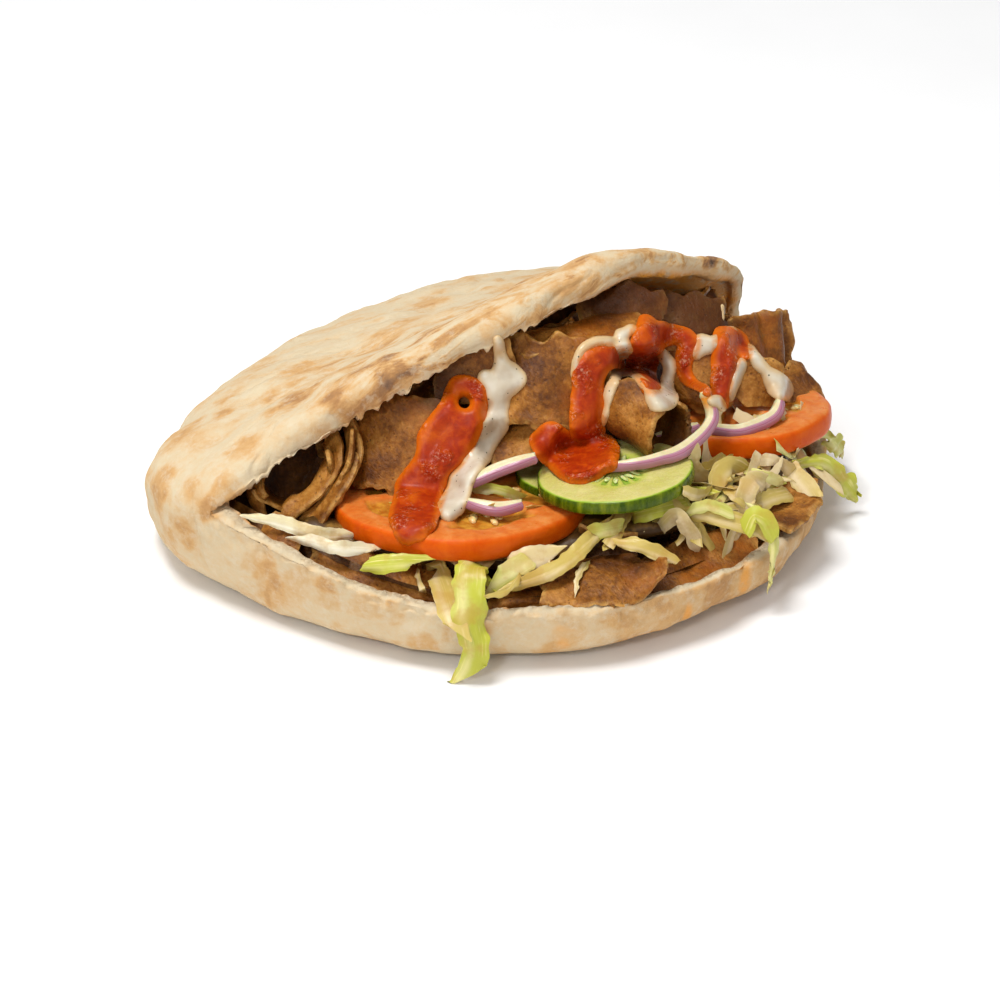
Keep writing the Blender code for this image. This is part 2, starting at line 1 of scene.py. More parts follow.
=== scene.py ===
"""The looks of a doner kebab sandwich: a round pitta slit along its front and stuffed with slices of doner
meat, shredded lettuce, tomato, cucumber, red onion, chilli sauce and white garlic yoghurt. Sizes are in
millimetres and degrees, in the frame in which the parts were drawn, until add_mesh moves them to the row's."""

import json
import math

import bmesh
import bpy
import numpy as np
from mathutils import Matrix, Vector
from mathutils.bvhtree import BVHTree

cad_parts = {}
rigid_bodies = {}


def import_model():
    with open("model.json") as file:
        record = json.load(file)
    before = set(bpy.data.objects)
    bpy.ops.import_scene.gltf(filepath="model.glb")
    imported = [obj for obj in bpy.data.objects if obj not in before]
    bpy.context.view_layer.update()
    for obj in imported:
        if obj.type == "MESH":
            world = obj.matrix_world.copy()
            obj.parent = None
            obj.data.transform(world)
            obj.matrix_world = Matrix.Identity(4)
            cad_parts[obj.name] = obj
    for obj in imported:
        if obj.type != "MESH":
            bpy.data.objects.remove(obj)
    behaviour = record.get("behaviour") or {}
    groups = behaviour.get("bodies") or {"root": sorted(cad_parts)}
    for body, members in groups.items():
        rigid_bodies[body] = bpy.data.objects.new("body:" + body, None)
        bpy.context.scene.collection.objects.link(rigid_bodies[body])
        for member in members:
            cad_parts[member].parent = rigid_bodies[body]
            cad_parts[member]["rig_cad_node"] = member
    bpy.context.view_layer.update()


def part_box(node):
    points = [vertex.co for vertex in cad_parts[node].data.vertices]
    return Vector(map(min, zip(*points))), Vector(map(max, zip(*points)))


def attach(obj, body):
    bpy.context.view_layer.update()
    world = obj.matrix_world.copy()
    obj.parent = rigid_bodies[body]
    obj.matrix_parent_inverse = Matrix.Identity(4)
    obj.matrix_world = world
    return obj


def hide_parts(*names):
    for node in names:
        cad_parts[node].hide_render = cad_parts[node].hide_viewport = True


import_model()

MM = 0.001
SHARP_MEAT, SHARP_LETTUCE = 60, 50  # the angle above which an edge is drawn sharp
WELD_DISTANCE = 1e-7  # in metres: only points in one place are joined

# ---------------------------------------------------------------- the frame in which the parts were drawn
TOMATO_MIDDLE = np.array([-8, -58.5475, 26.543])  # of the left tomato slice there
corners = np.array([list(corner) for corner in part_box("tomato_left")]) / MM
SHIFT = corners.mean(axis=0) - TOMATO_MIDDLE

BREAD_WALL = 7.0
POCKET_MIDDLE = np.array([0, -25, 26.0])
FRONT_CORNER = (-79, -74, 32)
BACK_CORNER = (80, 60, 24)
FOLD = [
    BACK_CORNER, (48, 85, 21), (5, 91, 19), (-35, 73, 16), (-66, 42, 15),
    (-90, 4, 17), (-101, -34, 21), (-95, -58, 26), FRONT_CORNER,
]
LOWER_LIP = [
    FRONT_CORNER, (-56, -91, 28), (-28, -104, 22.5), (0, -108, 19.5), (30, -105, 19.5),
    (60, -91, 18.5), (87, -63, 16), (102, -20, 12), (99, 28, 17), BACK_CORNER,
]
UPPER_LIP = [
    FRONT_CORNER, (-55, -63, 43), (-25, -51, 59), (4, -40, 69.5), (27, -25, 75.5),
    (44, -10, 79.5), (61, 8, 71.5), (78, 29, 56.5), BACK_CORNER,
]
FLAT_SHARE = 0.75
UNDERSIDE_POWER, UNDERSIDE_ROOT = 14, 2.5
DOME_POWER, DOME_ROOT = 6, 2.2
DOME_HEIGHT = 15.5
DOME_FADE = (25, 70)
DOME_FADE_SHARE = 0.7
SIDE_STEPS = 320  # columns along the closed side, and along the slit

SLICE_THICKNESS = 2.8
SLICE_DEPTH = 1.8  # how far slices may go into the bread
SLICE_MARGIN = 1.0  # how far they may go past the box of the part they stand for
CRUMB_SINK = 2.5  # the crumb on the rim lies lower than its part does
SLICE_TWIST = 6
SLICE_OVAL = 0.18
SLICES = {
    "meat_left_roll": dict(at=(-53, -57, 25), size=(46, 22), bend=230, tilt=-22, turn=-4, roll=-16),
    "meat_left_fold": dict(at=(-40.5, -54, 34), size=(31, 20), bend=69, tilt=-22, turn=-4, roll=-67),
    "meat_front_left": dict(at=(-22, -54, 42), size=(36, 32), bend=-45, tilt=62, spin=-14, turn=-8),
    "meat_under_lip": dict(at=(-4, -40, 60), size=(24, 18), bend=-30, tilt=66, spin=10),
    "meat_low_curl": dict(at=(9, -45, 40), size=(22, 16), bend=60, tilt=30, spin=25, roll=-25),
    "meat_middle": dict(at=(20, -41, 57), size=(36, 28), bend=-95, tilt=60, spin=-8, turn=6),
    "meat_middle_roll": dict(at=(43, -42, 38), size=(46, 26), bend=300, tilt=8, turn=40, roll=20),
    "meat_top_shelf": dict(at=(28, -26, 65), size=(40, 16), bend=-18, tilt=4, turn=14, roll=-4),
    "meat_top_fold": dict(at=(40, -14, 66), size=(27, 17), bend=-50, tilt=52, spin=8, roll=-4),
    "meat_top_right": dict(at=(61, -3, 57), size=(27, 17), bend=-35, tilt=48, turn=10, roll=8),
    "meat_right_inner": dict(at=(62, -14, 45), size=(22, 24), bend=-60, tilt=64, turn=-12, spin=6),
    "meat_right_torn": dict(at=(79, -12, 41), size=(19, 15), bend=-50, tilt=58, turn=14, spin=-12),
    "meat_right_pleat": dict(at=(84, 11, 40), size=(36, 23), bend=-60, pleat=40, tilt=62, turn=24, roll=26),
    "meat_right_tip": dict(at=(93, 4, 31), size=(18, 18), bend=-30, tilt=20, turn=30, roll=10),
    "meat_rim_left": dict(at=(-27, -89, 20), size=(52, 20), bend=-20, tilt=16, turn=-12, roll=12),
    "meat_rim_crumb": dict(at=(-57, -79, 30.5), size=(15, 11), bend=20, tilt=12, turn=-30, roll=4),
    "meat_rim_middle": dict(at=(10, -96, 17), size=(20, 12), bend=-20, tilt=10),
    "meat_rim_big": dict(at=(33, -93, 22), size=(38, 23), bend=16, tilt=9, turn=5, roll=-4, curl=45),
    "meat_rim_roll": dict(at=(34, -80, 19), size=(26, 18), bend=250, tilt=4, turn=80, roll=-30),
    "meat_rim_right": dict(at=(61, -77, 18), size=(42, 20), bend=-18, tilt=10, turn=35, roll=-2),
    "meat_rim_far": dict(at=(86, -47, 20.5), size=(30, 24), bend=20, tilt=6, turn=58, roll=-4),
}
DISCS = {
    "tomato_left": dict(at=(-8, -58, 30), radius=36, thickness=7, tilt=-9),
    "tomato_right": dict(at=(74, -8, 31), radius=29, thickness=7, tilt=-9, roll=-2),
    "cucumber_front": dict(at=(36.6, -60, 38.6), radius=22.5, thickness=4.2, tilt=-7, roll=-6),
    "cucumber_back": dict(at=(30, -42, 29.5), radius=22, thickness=4, tilt=-7, roll=-2),
}
ONION_HEIGHT, ONION_THICKNESS = 4.0, 2.8
ONIONS = {
    "onion_long": [(34, -63, 42), (47, -62, 43), (58, -55, 44), (65, -45, 47), (63, -41, 54)],
    "onion_left": [(-5, -66, 38), (4, -63, 41), (14, -60, 43)],
    "onion_low": [(-6, -73, 36), (2, -76, 35.5), (10, -74, 36)],
    "onion_right": [(64, -32, 37), (74, -33, 36.5), (84, -26, 37), (87, -20, 39)],
    "onion_inner": [(49, -40, 38), (56, -38, 39), (62, -33, 38)],
}
STRANDS = {
    "lettuce_drop": dict(
        path=[(-3, -92, 27), (-4.7, -103, 31), (-4.7, -111, 21), (-3, -113, 11), (-6, -113, 2.2)], width=10,
    ),
    "lettuce_pale_left": dict(
        path=[(-70, -79, 35), (-58, -81, 33.5), (-47, -83, 31), (-38, -79, 29)], width=5,
    ),
    "lettuce_pale_low": dict(path=[(-55, -84, 31), (-43, -88, 30), (-30, -86, 28)], width=4.5),
    "lettuce_green_left": dict(path=[(-35, -93, 27), (-27, -95, 29), (-18, -94, 29)], width=6),
    "lettuce_long": dict(path=[(4, -100, 24), (18, -96, 27), (28, -86, 30), (34, -76, 32)], width=7),
    "lettuce_leaf": dict(path=[(4, -94, 26), (12, -94, 29), (20, -90, 29)], width=11),
    "lettuce_tail": dict(path=[(36, -86, 30), (44, -88, 30), (54, -90, 26)], width=5),
    "lettuce_sweep": dict(path=[(55, -70, 31), (66, -74, 31), (76, -73, 27), (80, -72, 22)], width=6),
    "lettuce_hanging": dict(path=[(75, -66, 31), (80, -71, 28.5), (82, -75.5, 22), (81, -77, 9)], width=3),
    "lettuce_right": dict(path=[(90, -34, 25), (100, -27, 22), (107, -23, 13), (112, -21, 5)], width=6),
    "lettuce_far_right": dict(path=[(94, -20, 27), (102, -10, 22), (107, 0, 12), (110, 7, 5)], width=6),
}
BED_PATH = [
    (-52, -70, 26), (-25, -77, 24), (5, -78, 22), (35, -69, 24), (62, -56, 25), (80, -34, 24), (84, -8, 23),
]
BED_HALF_WIDTH, BED_HALF_HEIGHT = 12.0, 6.0
BED_SHREDS = 104

# Sauce, as strokes of (X, distance up the slope, width) on the plane that it is poured along
SAUCE_SLOPE = 59
OUTWARD = np.array([0, -math.sin(math.radians(SAUCE_SLOPE)), math.cos(math.radians(SAUCE_SLOPE))])
UP_SLOPE = np.array([0, math.cos(math.radians(SAUCE_SLOPE)), math.sin(math.radians(SAUCE_SLOPE))])
CHILLI = {
    "chilli_left": [[
        (-8.4, 27.4, 4.7), (-6.3, 23.9, 10.5), (-6.9, 19.8, 12.2), (-9.5, 14.6, 14.6), (-12.7, 9.3, 15.2),
        (-15.9, 3.5, 11.7), (-18.6, -1.7, 14.0), (-20.3, -7.0, 14.9), (-20.9, -11.1, 13.4), (-22.1, -13.7, 9.9),
    ]],
    "chilli_middle": [[
        (41.5, 33.8, 2.9), (37.4, 35.0, 6.4), (33.3, 34.4, 8.7), (29.8, 30.9, 9.3), (28.7, 25.1, 8.7),
        (29.0, 19.3, 9.3), (29.3, 14.0, 10.5),
    ]],
    "chilli_pool": [[
        (15.3, 11.1, 5.2), (17.6, 13.4, 5.2), (19.9, 9.3, 11.7), (24.0, 5.8, 13.4), (28.7, 5.8, 14.0),
        (31.6, 7.6, 11.7), (33.9, 4.7, 7.0),
    ]],
    "chilli_right": [[
        (46.2, 44.3, 5.8), (46.6, 40.2, 10.6), (46.7, 34.4, 9.9), (47.3, 28.6, 7.4), (47.5, 25.1, 2.6),
    ], [
        (46.2, 43.6, 4.6), (50.2, 42.6, 5.5), (56.1, 42.9, 5.5), (60.0, 40.6, 6.0), (58.6, 35.6, 5.6),
        (59.0, 31.5, 4.5), (61.3, 27.4, 3.5), (63.6, 24.4, 2.2),
    ]],
    "chilli_far_right": [[
        (77.1, 36.7, 2.9), (75.9, 40.8, 7.0), (72.4, 40.8, 9.3), (71.2, 36.2, 8.2), (70.1, 30.9, 6.4),
        (69.8, 26.3, 5.2), (69.8, 22.2, 2.9),
    ]],
}
WHITE = {
    "yoghurt_left": [[
        (3.0, 39.7, 2.6), (3.9, 34.4, 2.9), (5.3, 29.8, 7.6), (8.3, 28.6, 5.8), (3.6, 25.1, 7.6),
        (3.0, 20.4, 5.8), (1.9, 15.8, 7.6), (-0.5, 10.5, 7.6), (-3.4, 5.8, 5.8), (-5.7, 1.8, 5.2),
        (-8.1, -2.9, 8.2), (-9.8, -7.0, 8.7), (-11.0, -9.9, 6.4),
    ], [(-0.5, 29.2, 4.1), (1.9, 27.4, 5.2)]],
    "yoghurt_middle": [[
        (26.0, 29.2, 2.0), (26.0, 33.3, 2.6), (27.5, 37.3, 3.8), (31.0, 39.1, 3.8), (34.5, 39.4, 2.9),
        (35.1, 37.9, 2.3),
    ], [(38.0, 36.7, 2.9), (40.3, 37.9, 3.5)], [(39.2, 42.0, 3.5), (41.8, 43.2, 3.5), (43.3, 43.2, 2.3)]],
    "yoghurt_loop": [[
        (33.6, 15.8, 2.0), (34.8, 21.6, 2.9), (36.3, 26.8, 4.1), (38.6, 31.2, 5.2), (41.5, 31.8, 4.1),
        (43.8, 28.6, 2.9), (46.2, 25.1, 4.1), (49.1, 22.2, 5.8), (52.0, 23.3, 5.8), (53.5, 27.4, 5.2),
        (54.3, 32.7, 4.1), (52.6, 36.2, 2.6), (51.1, 38.8, 1.7),
    ]],
    "yoghurt_right": [[
        (61.9, 38.2, 4.1), (64.2, 40.0, 5.2), (66.9, 40.8, 4.1), (69.2, 43.2, 1.7), (70.9, 44.9, 1.7),
        (74.2, 44.3, 1.7), (77.4, 42.0, 1.7), (79.4, 37.9, 2.3), (81.4, 34.4, 2.6), (84.1, 31.5, 3.5),
        (87.0, 28.0, 7.6), (90.2, 26.8, 7.0),
    ], [(70.9, 44.9, 1.7), (70.7, 47.8, 1.5), (70.7, 51.9, 1.2)]],
    "yoghurt_leg": [
        [(75.3, 34.4, 3.5), (74.2, 30.9, 4.7), (73.0, 27.4, 3.5), (72.1, 24.5, 2.3)],
        [(65.4, 22.2, 2.3), (67.2, 22.2, 2.9), (68.3, 20.4, 2.0)],
    ],
}
SAUCE_HOLES = {"chilli_left": [(-6.6, 21.9, 1.3)], "yoghurt_left": [(3.6, 35.8, 0.7)]}


# ------------------------------------------------------------------------------------ curves and noise
def smooth_curve(points, steps):
    """Points along a Catmull-Rom curve through the given points, both ends included."""
    points = [np.array(p, float) for p in points]
    found = []
    for t in np.linspace(0, len(points) - 1, steps + 1):
        i = min(int(t), len(points) - 2)
        f = t - i
        a, b, c, d = (points[min(max(k, 0), len(points) - 1)] for k in range(i - 1, i + 3))
        bend = (2 * a - 5 * b + 4 * c - d) * f**2 + (3 * b - a - 3 * c + d) * f**3
        found.append(0.5 * (2 * b + (c - a) * f + bend))
    return np.array(found)


def waves(seed, at, lumps):
    """A smooth seeded wobble between about -1 and 1 at each place along a line from -1 to 1."""
    rng = np.random.default_rng(seed)
    phase = rng.uniform(0, 2 * math.pi, 3)
    return sum(np.sin(at * lumps * (k + 1) + phase[k]) / (k + 1) for k in range(3)) / 1.6


ASKEW = np.array(Matrix.Rotation(0.9, 3, "X") @ Matrix.Rotation(0.6, 3, "Y") @ Matrix.Rotation(0.5, 3, "Z"))


def noise(points, size, seed=0, octaves=1):
    """Smooth seeded noise between about -1 and 1 at each point, with lumps of about that size."""
    points = np.asarray(points, float) @ ASKEW
    total = np.zeros(points.shape[:-1])
    reach = 0.0
    for octave in range(octaves):
        share = 0.5**octave
        place = points / (size * share) + 31.7 * (seed + 1) + 11.3 * octave
        cell = np.floor(place).astype(np.int64)
        part = place - cell
        part = part * part * part * (part * (part * 6 - 15) + 10)
        layer = np.zeros(total.shape)
        for corner in np.ndindex(2, 2, 2):
            at = cell + np.array(corner)
            mixed = at[..., 0] * 73856093 ^ at[..., 1] * 19349663 ^ at[..., 2] * 83492791 ^ (seed + 7) * 2654435761
            mixed = (mixed ^ (mixed >> 15)) * 2246822519 & 0xFFFFFFFF
            mixed = (mixed ^ (mixed >> 13)) * 3266489917 & 0xFFFFFFFF
            value = ((mixed >> 8) & 0xFFFF) / 32767.5 - 1
            weight = np.prod(np.where(np.array(corner), part, 1 - part), axis=-1)
            layer += weight * value
        total += layer * share
        reach += share
    return total * 1.5 / reach


def smooth(values, low, high):
    """0 below the first value and 1 above the second, with an even passage between."""
    share = np.clip((values - low) / (high - low), 0, 1)
    return share * share * (3 - 2 * share)


def unit(vectors):
    return vectors / np.maximum(np.linalg.norm(vectors, axis=-1, keepdims=True), 1e-9)


def placed(at=(0, 0, 0), turn=0, tilt=0, roll=0, spin=0):
    """The place of a piece: spun in its own plane, rolled, tilted, turned and then moved."""
    matrix = Matrix.Translation(Vector(at))
    for angle, axis in ((turn, "Z"), (tilt, "X"), (roll, "Y"), (spin, "Z")):
        matrix = matrix @ Matrix.Rotation(math.radians(angle), 4, axis)
    return np.array(matrix)


def place_of(piece):
    """The place that a piece's own table gives."""
    return placed(**{key: piece[key] for key in ("at", "turn", "tilt", "roll", "spin") if key in piece})


def moved(points, matrix):
    return points @ matrix[:3, :3].T + matrix[:3, 3]


# -------------------------------------------------------------------------------------------- materials
class Look:
    """A Principled material built node by node. Sizes of grain and lumps are in millimetres."""

    def __init__(self, name, roughness=0.5, **sockets):
        self.material = bpy.data.materials.new(name)
        self.material.use_nodes = True
        self.tree = self.material.node_tree
        self.shader = self.tree.nodes["Principled BSDF"]
        for socket, value in {"Roughness": roughness, "Specular_IOR_Level": 0.25, **sockets}.items():
            self.shader.inputs[socket.replace("_", " ")].default_value = value
        self.place = self.new("ShaderNodeTexCoord").outputs["Object"]
        self.relief = []

    def put(self, socket, value):
        if isinstance(value, bpy.types.NodeSocket):
            self.tree.links.new(value, socket)
        else:
            socket.default_value = value

    def new(self, kind, inputs=None, **settings):
        """A node with those settings and with its inputs set or linked."""
        node = self.tree.nodes.new(kind)
        for key, value in settings.items():
            setattr(node, key, value)
        for key, value in (inputs or {}).items():
            self.put(node.inputs[key], value)
        return node

    def stretched(self, by, turn=(0, 0, 0)):
        """Coordinates in which a pattern is drawn out by those factors along the turned axes."""
        inputs = {"Vector": self.place, "Scale": by, "Rotation": [math.radians(a) for a in turn]}
        return self.new("ShaderNodeMapping", inputs, vector_type="TEXTURE").outputs["Vector"]

    def grain(self, size, detail, rough=0.55, distortion=0, vector=None):
        inputs = {"Vector": vector or self.place, "Scale": 1 / (size * MM), "Detail": detail, "Roughness": rough}
        return self.new("ShaderNodeTexNoise", {**inputs, "Distortion": distortion}).outputs["Fac"]

    def cells(self, size):
        inputs = {"Vector": self.place, "Scale": 1 / (size * MM)}
        return self.new("ShaderNodeTexVoronoi", inputs).outputs["Distance"]

    def lines(self, name, size):
        """Uneven lines along which the named attribute, in millimetres, stays the same."""
        inputs = {"W": self.times(self.attribute(name), 1 / size), "Scale": 1, "Detail": 3}
        return self.new("ShaderNodeTexNoise", inputs, noise_dimensions="1D").outputs["Fac"]

    def attribute(self, name):
        return self.new("ShaderNodeAttribute", attribute_name=name).outputs["Fac"]

    def sum(self, operation, a, b, clamp=False):
        return self.new("ShaderNodeMath", {0: a, 1: b}, operation=operation, use_clamp=clamp).outputs[0]

    def plus(self, a, b, clamp=False):
        return self.sum("ADD", a, b, clamp)

    def times(self, a, b):
        return self.sum("MULTIPLY", a, b)

    def band(self, value, low, high):
        """0 below the first value and 1 above the second."""
        inputs = {"Value": value, "From Min": low, "From Max": high}
        return self.new("ShaderNodeMapRange", inputs, interpolation_type="SMOOTHSTEP").outputs["Result"]

    def ramp(self, value, *stops):
        node = self.new("ShaderNodeValToRGB", {"Fac": value})
        elements = node.color_ramp.elements
        while len(elements) < len(stops):
            elements.new(0.5)
        for element, (place, colour) in zip(elements, stops):
            element.position = place
            element.color = (*colour, 1)
        return node.outputs["Color"]

    def mix(self, share, a, b):
        a, b = ((*value, 1) if isinstance(value, tuple) else value for value in (a, b))
        return self.new("ShaderNodeMix", {"Factor": share, 6: a, 7: b}, data_type="RGBA").outputs[2]

    def bump(self, height, depth, strength):
        """Adds relief of that depth in millimetres."""
        self.relief.append((height, depth, strength))

    def finish(self, colour, roughness=None):
        self.put(self.shader.inputs["Base Color"], (*colour, 1) if isinstance(colour, tuple) else colour)
        if roughness is not None:
            self.put(self.shader.inputs["Roughness"], roughness)
        normal = None
        for height, depth, strength in self.relief:
            inputs = {"Strength": strength, "Distance": depth * MM, "Height": height}
            normal = self.new("ShaderNodeBump", {**inputs, "Normal": normal} if normal else inputs).outputs["Normal"]
        if normal:
            self.put(self.shader.inputs["Normal"], normal)
        return self.material


def bread_look():
    look = Look("baked_pitta", 0.75)
    top = look.attribute("top")
    flow = look.stretched((3, 1, 1), (0, -20, 24))
    patches = look.band(look.grain(13, 3, 0.5, 0.6), 0.48, 0.66)
    streaks = look.band(look.grain(6, 4, 0.6, 0.6, flow), 0.40, 0.64)
    scorch = look.band(look.grain(3.2, 3, 0.5, 0.3, flow), 0.59, 0.68)
    scorch = look.times(scorch, look.band(look.grain(30, 2), 0.42, 0.55))
    fine = look.times(look.sum("SUBTRACT", look.grain(2.4, 5, 0.7), 0.5), 0.40)
    strong = look.plus(look.times(streaks, 0.64), look.times(scorch, 0.42))
    # This attribute holds the baked browning and, on the right of the lower half, painted shade.
    brown = look.plus(look.attribute("brown"), look.times(patches, 0.17))
    brown = look.plus(brown, look.times(strong, top))
    brown = look.plus(brown, fine, clamp=True)
    colour = look.ramp(
        brown,
        (0.0, (0.66, 0.545, 0.36)), (0.16, (0.665, 0.49, 0.285)), (0.36, (0.62, 0.365, 0.15)),
        (0.60, (0.44, 0.225, 0.085)), (0.85, (0.24, 0.13, 0.07)), (1.0, (0.12, 0.075, 0.05)),
    )
    flour = look.times(look.band(look.grain(4, 5, 0.75), 0.48, 0.66), 0.4)
    colour = look.mix(flour, colour, (0.70, 0.60, 0.44))
    crumb = look.attribute("crumb")
    pores = look.band(look.grain(1.3, 5, 0.7, 0.5), 0.36, 0.60)
    crumb_colour = look.mix(pores, (0.50, 0.35, 0.20), (0.66, 0.54, 0.37))
    colour = look.mix(crumb, colour, crumb_colour)
    stain = look.attribute("stain")
    stain = look.times(stain, look.band(look.grain(4, 4, 0.6), 0.20, 0.55))
    colour = look.mix(stain, colour, (0.80, 0.34, 0.045))
    look.bump(look.grain(1.1, 4, 0.65), 0.4, 0.6)
    look.bump(look.grain(3.5, 4, 0.55), 0.6, 0.4)
    look.bump(look.times(streaks, top), 0.6, 0.5)
    look.bump(look.times(pores, crumb), 0.7, 0.6)
    return look.finish(colour, look.sum("SUBTRACT", 0.85, look.times(stain, 0.35)))


def meat_look(name, shade=1.0):
    look = Look(name, 0.5, Subsurface_Weight=0.05, Subsurface_Scale=0.002, Specular_IOR_Level=0.25)
    broad = look.grain(12, 3, 0.55, 0.4)
    fine = look.grain(1.3, 4, 0.65, 0.4)
    fibres = look.grain(1.6, 4, 0.6, 0.8, look.stretched((1, 3, 1), (20, 10, 35)))
    tone = look.plus(look.times(broad, 0.66), look.times(fine, 0.34))
    colours = (
        (0.36, (0.085, 0.024, 0.003)), (0.46, (0.19, 0.062, 0.006)), (0.54, (0.31, 0.115, 0.014)),
        (0.65, (0.50, 0.22, 0.042)),
    )
    colour = look.ramp(tone, *((p, tuple(c * shade for c in rgb)) for p, rgb in colours))
    edge = look.attribute("edge")
    crisp = look.band(look.grain(3.5, 4, 0.6), 0.35, 0.62)
    edge_colour = look.mix(crisp, (0.24, 0.085, 0.008), (0.66, 0.36, 0.09))
    colour = look.mix(look.times(edge, 0.7), colour, edge_colour)
    pores = look.band(look.cells(1.7), 0.08, 0.26)
    pits = look.sum("MAXIMUM", pores, look.band(look.grain(7, 3, 0.6), 0.50, 0.60))
    colour = look.mix(look.plus(look.times(pits, 0.6), 0.4), (0.11, 0.036, 0.009), colour)
    wet = look.attribute("stain")
    wet = look.times(wet, look.band(look.grain(5, 3, 0.6), 0.32, 0.6))
    colour = look.mix(look.times(wet, 0.5), colour, (0.36, 0.095, 0.006))
    # Painted shade: the meat is darkened under the flap, in the hollows and deep in the pocket.
    colour = look.mix(look.times(look.attribute("juicy"), 0.82), colour, (0.05, 0.013, 0.002))
    look.bump(fibres, 0.8, 0.6)
    look.bump(fine, 0.35, 0.6)
    look.bump(pits, 0.3, 0.5)
    rough = look.plus(look.times(look.grain(4, 3, 0.6), 0.4), 0.26)
    return look.finish(colour, rough)


def lettuce_look(name, pale, green):
    look = Look(
        name, 0.38, Subsurface_Weight=0.15, Subsurface_Scale=0.002,
        Specular_IOR_Level=0.35, Subsurface_Radius=(1.0, 0.9, 0.4),
    )
    rib = look.attribute("rib")
    broad = look.grain(14, 3, 0.5)
    share = look.plus(look.times(broad, 0.8), look.times(look.attribute("tint"), 0.4))
    share = look.band(look.sum("SUBTRACT", share, look.times(rib, 0.25)), 0.25, 0.70)
    veins = look.lines("lane", 1.1)
    colour = look.mix(share, pale, green)
    lighter = look.times(look.band(veins, 0.50, 0.70), look.band(look.grain(6, 2), 0.4, 0.65))
    colour = look.mix(look.times(lighter, 0.6), colour, tuple(c * 1.2 for c in pale))
    stained = look.times(look.band(look.grain(9, 4, 0.6), 0.48, 0.66), 0.5)
    colour = look.mix(stained, colour, (0.50, 0.27, 0.05))
    look.bump(veins, 0.15, 0.5)
    look.bump(look.grain(2.2, 3, 0.5), 0.35, 0.4)
    return look.finish(colour, look.plus(look.times(look.grain(3, 2), 0.3), 0.22))


def tomato_look():
    look = Look(
        "tomato_flesh", 0.25, Subsurface_Weight=0.15, Subsurface_Scale=0.004,
        Specular_IOR_Level=0.1, Subsurface_Radius=(1.0, 0.3, 0.1),
    )
    skin = look.attribute("skin")
    gel = look.attribute("gel")
    fine = look.grain(1.6, 5, 0.65)
    streak = look.grain(5, 4, 0.6, 0.6)
    flesh = look.ramp(
        look.plus(look.times(streak, 0.7), look.times(fine, 0.3)),
        (0.30, (0.58, 0.11, 0.012)), (0.50, (0.67, 0.18, 0.030)), (0.72, (0.74, 0.30, 0.085)),
    )
    skin_colour = look.ramp(streak, (0.3, (0.62, 0.072, 0.001)), (0.7, (0.72, 0.125, 0.003)))
    colour = look.mix(skin, flesh, skin_colour)
    gel_colour = look.ramp(look.grain(3.4, 4, 0.6), (0.35, (0.40, 0.11, 0.008)), (0.68, (0.70, 0.34, 0.04)))
    colour = look.mix(gel, colour, gel_colour)
    look.bump(fine, 0.25, 0.35)
    look.bump(streak, 0.5, 0.35)
    wet = look.plus(look.times(look.grain(4, 3), 0.4), 0.14)
    return look.finish(colour, wet)


def seed_look(name, colour, dark):
    look = Look(name, 0.25, Subsurface_Weight=0.3, Subsurface_Scale=0.002, Coat_Weight=0.3)
    tone = look.grain(1.2, 3, 0.6)
    look.bump(tone, 0.12, 0.4)
    return look.finish(look.mix(look.band(tone, 0.35, 0.65), dark, colour))


def cucumber_look():
    look = Look(
        "cucumber_flesh", 0.25, Subsurface_Weight=0.25, Subsurface_Scale=0.003,
        Specular_IOR_Level=0.2, Subsurface_Radius=(0.7, 1.0, 0.3),
    )
    skin = look.attribute("skin")
    core = look.attribute("core")
    cell = look.attribute("seeds")
    fine = look.grain(1.4, 4, 0.6)
    flesh = look.ramp(look.grain(7, 3, 0.5), (0.3, (0.53, 0.50, 0.12)), (0.7, (0.64, 0.58, 0.22)))
    colour = look.mix(look.times(core, 0.7), flesh, (0.47, 0.52, 0.07))
    colour = look.mix(cell, colour, (0.26, 0.40, 0.04))
    near_skin = look.band(skin, 0.02, 0.5)
    colour = look.mix(near_skin, colour, (0.30, 0.44, 0.03))
    stripes = look.ramp(
        look.grain(2.4, 4, 0.6, 0, look.stretched((1, 1, 5))),
        (0.35, (0.035, 0.07, 0.001)), (0.52, (0.09, 0.135, 0.002)), (0.70, (0.22, 0.25, 0.006)),
    )
    colour = look.mix(look.band(skin, 0.6, 0.95), colour, stripes)
    look.bump(fine, 0.12, 0.25)
    look.bump(cell, 0.35, 0.5)
    return look.finish(colour, look.plus(look.times(fine, 0.3), 0.12))


def onion_look():
    look = Look("red_onion", 0.22, Subsurface_Weight=0.3, Subsurface_Scale=0.002, Coat_Weight=0.2)
    outer = look.attribute("outer")
    lines = look.lines("lane", 0.5)
    purple = look.ramp(lines, (0.3, (0.32, 0.10, 0.16)), (0.5, (0.44, 0.20, 0.27)), (0.75, (0.60, 0.38, 0.43)))
    cream = look.ramp(look.grain(3, 3), (0.3, (0.66, 0.58, 0.30)), (0.7, (0.78, 0.70, 0.46)))
    colour = look.mix(look.band(outer, 0.52, 0.64), cream, purple)
    stain = look.times(look.attribute("stain"), look.band(look.grain(3, 3), 0.3, 0.5))
    colour = look.mix(stain, colour, (0.80, 0.30, 0.03))
    look.bump(lines, 0.2, 0.4)
    return look.finish(colour, look.plus(look.times(lines, 0.3), 0.1))


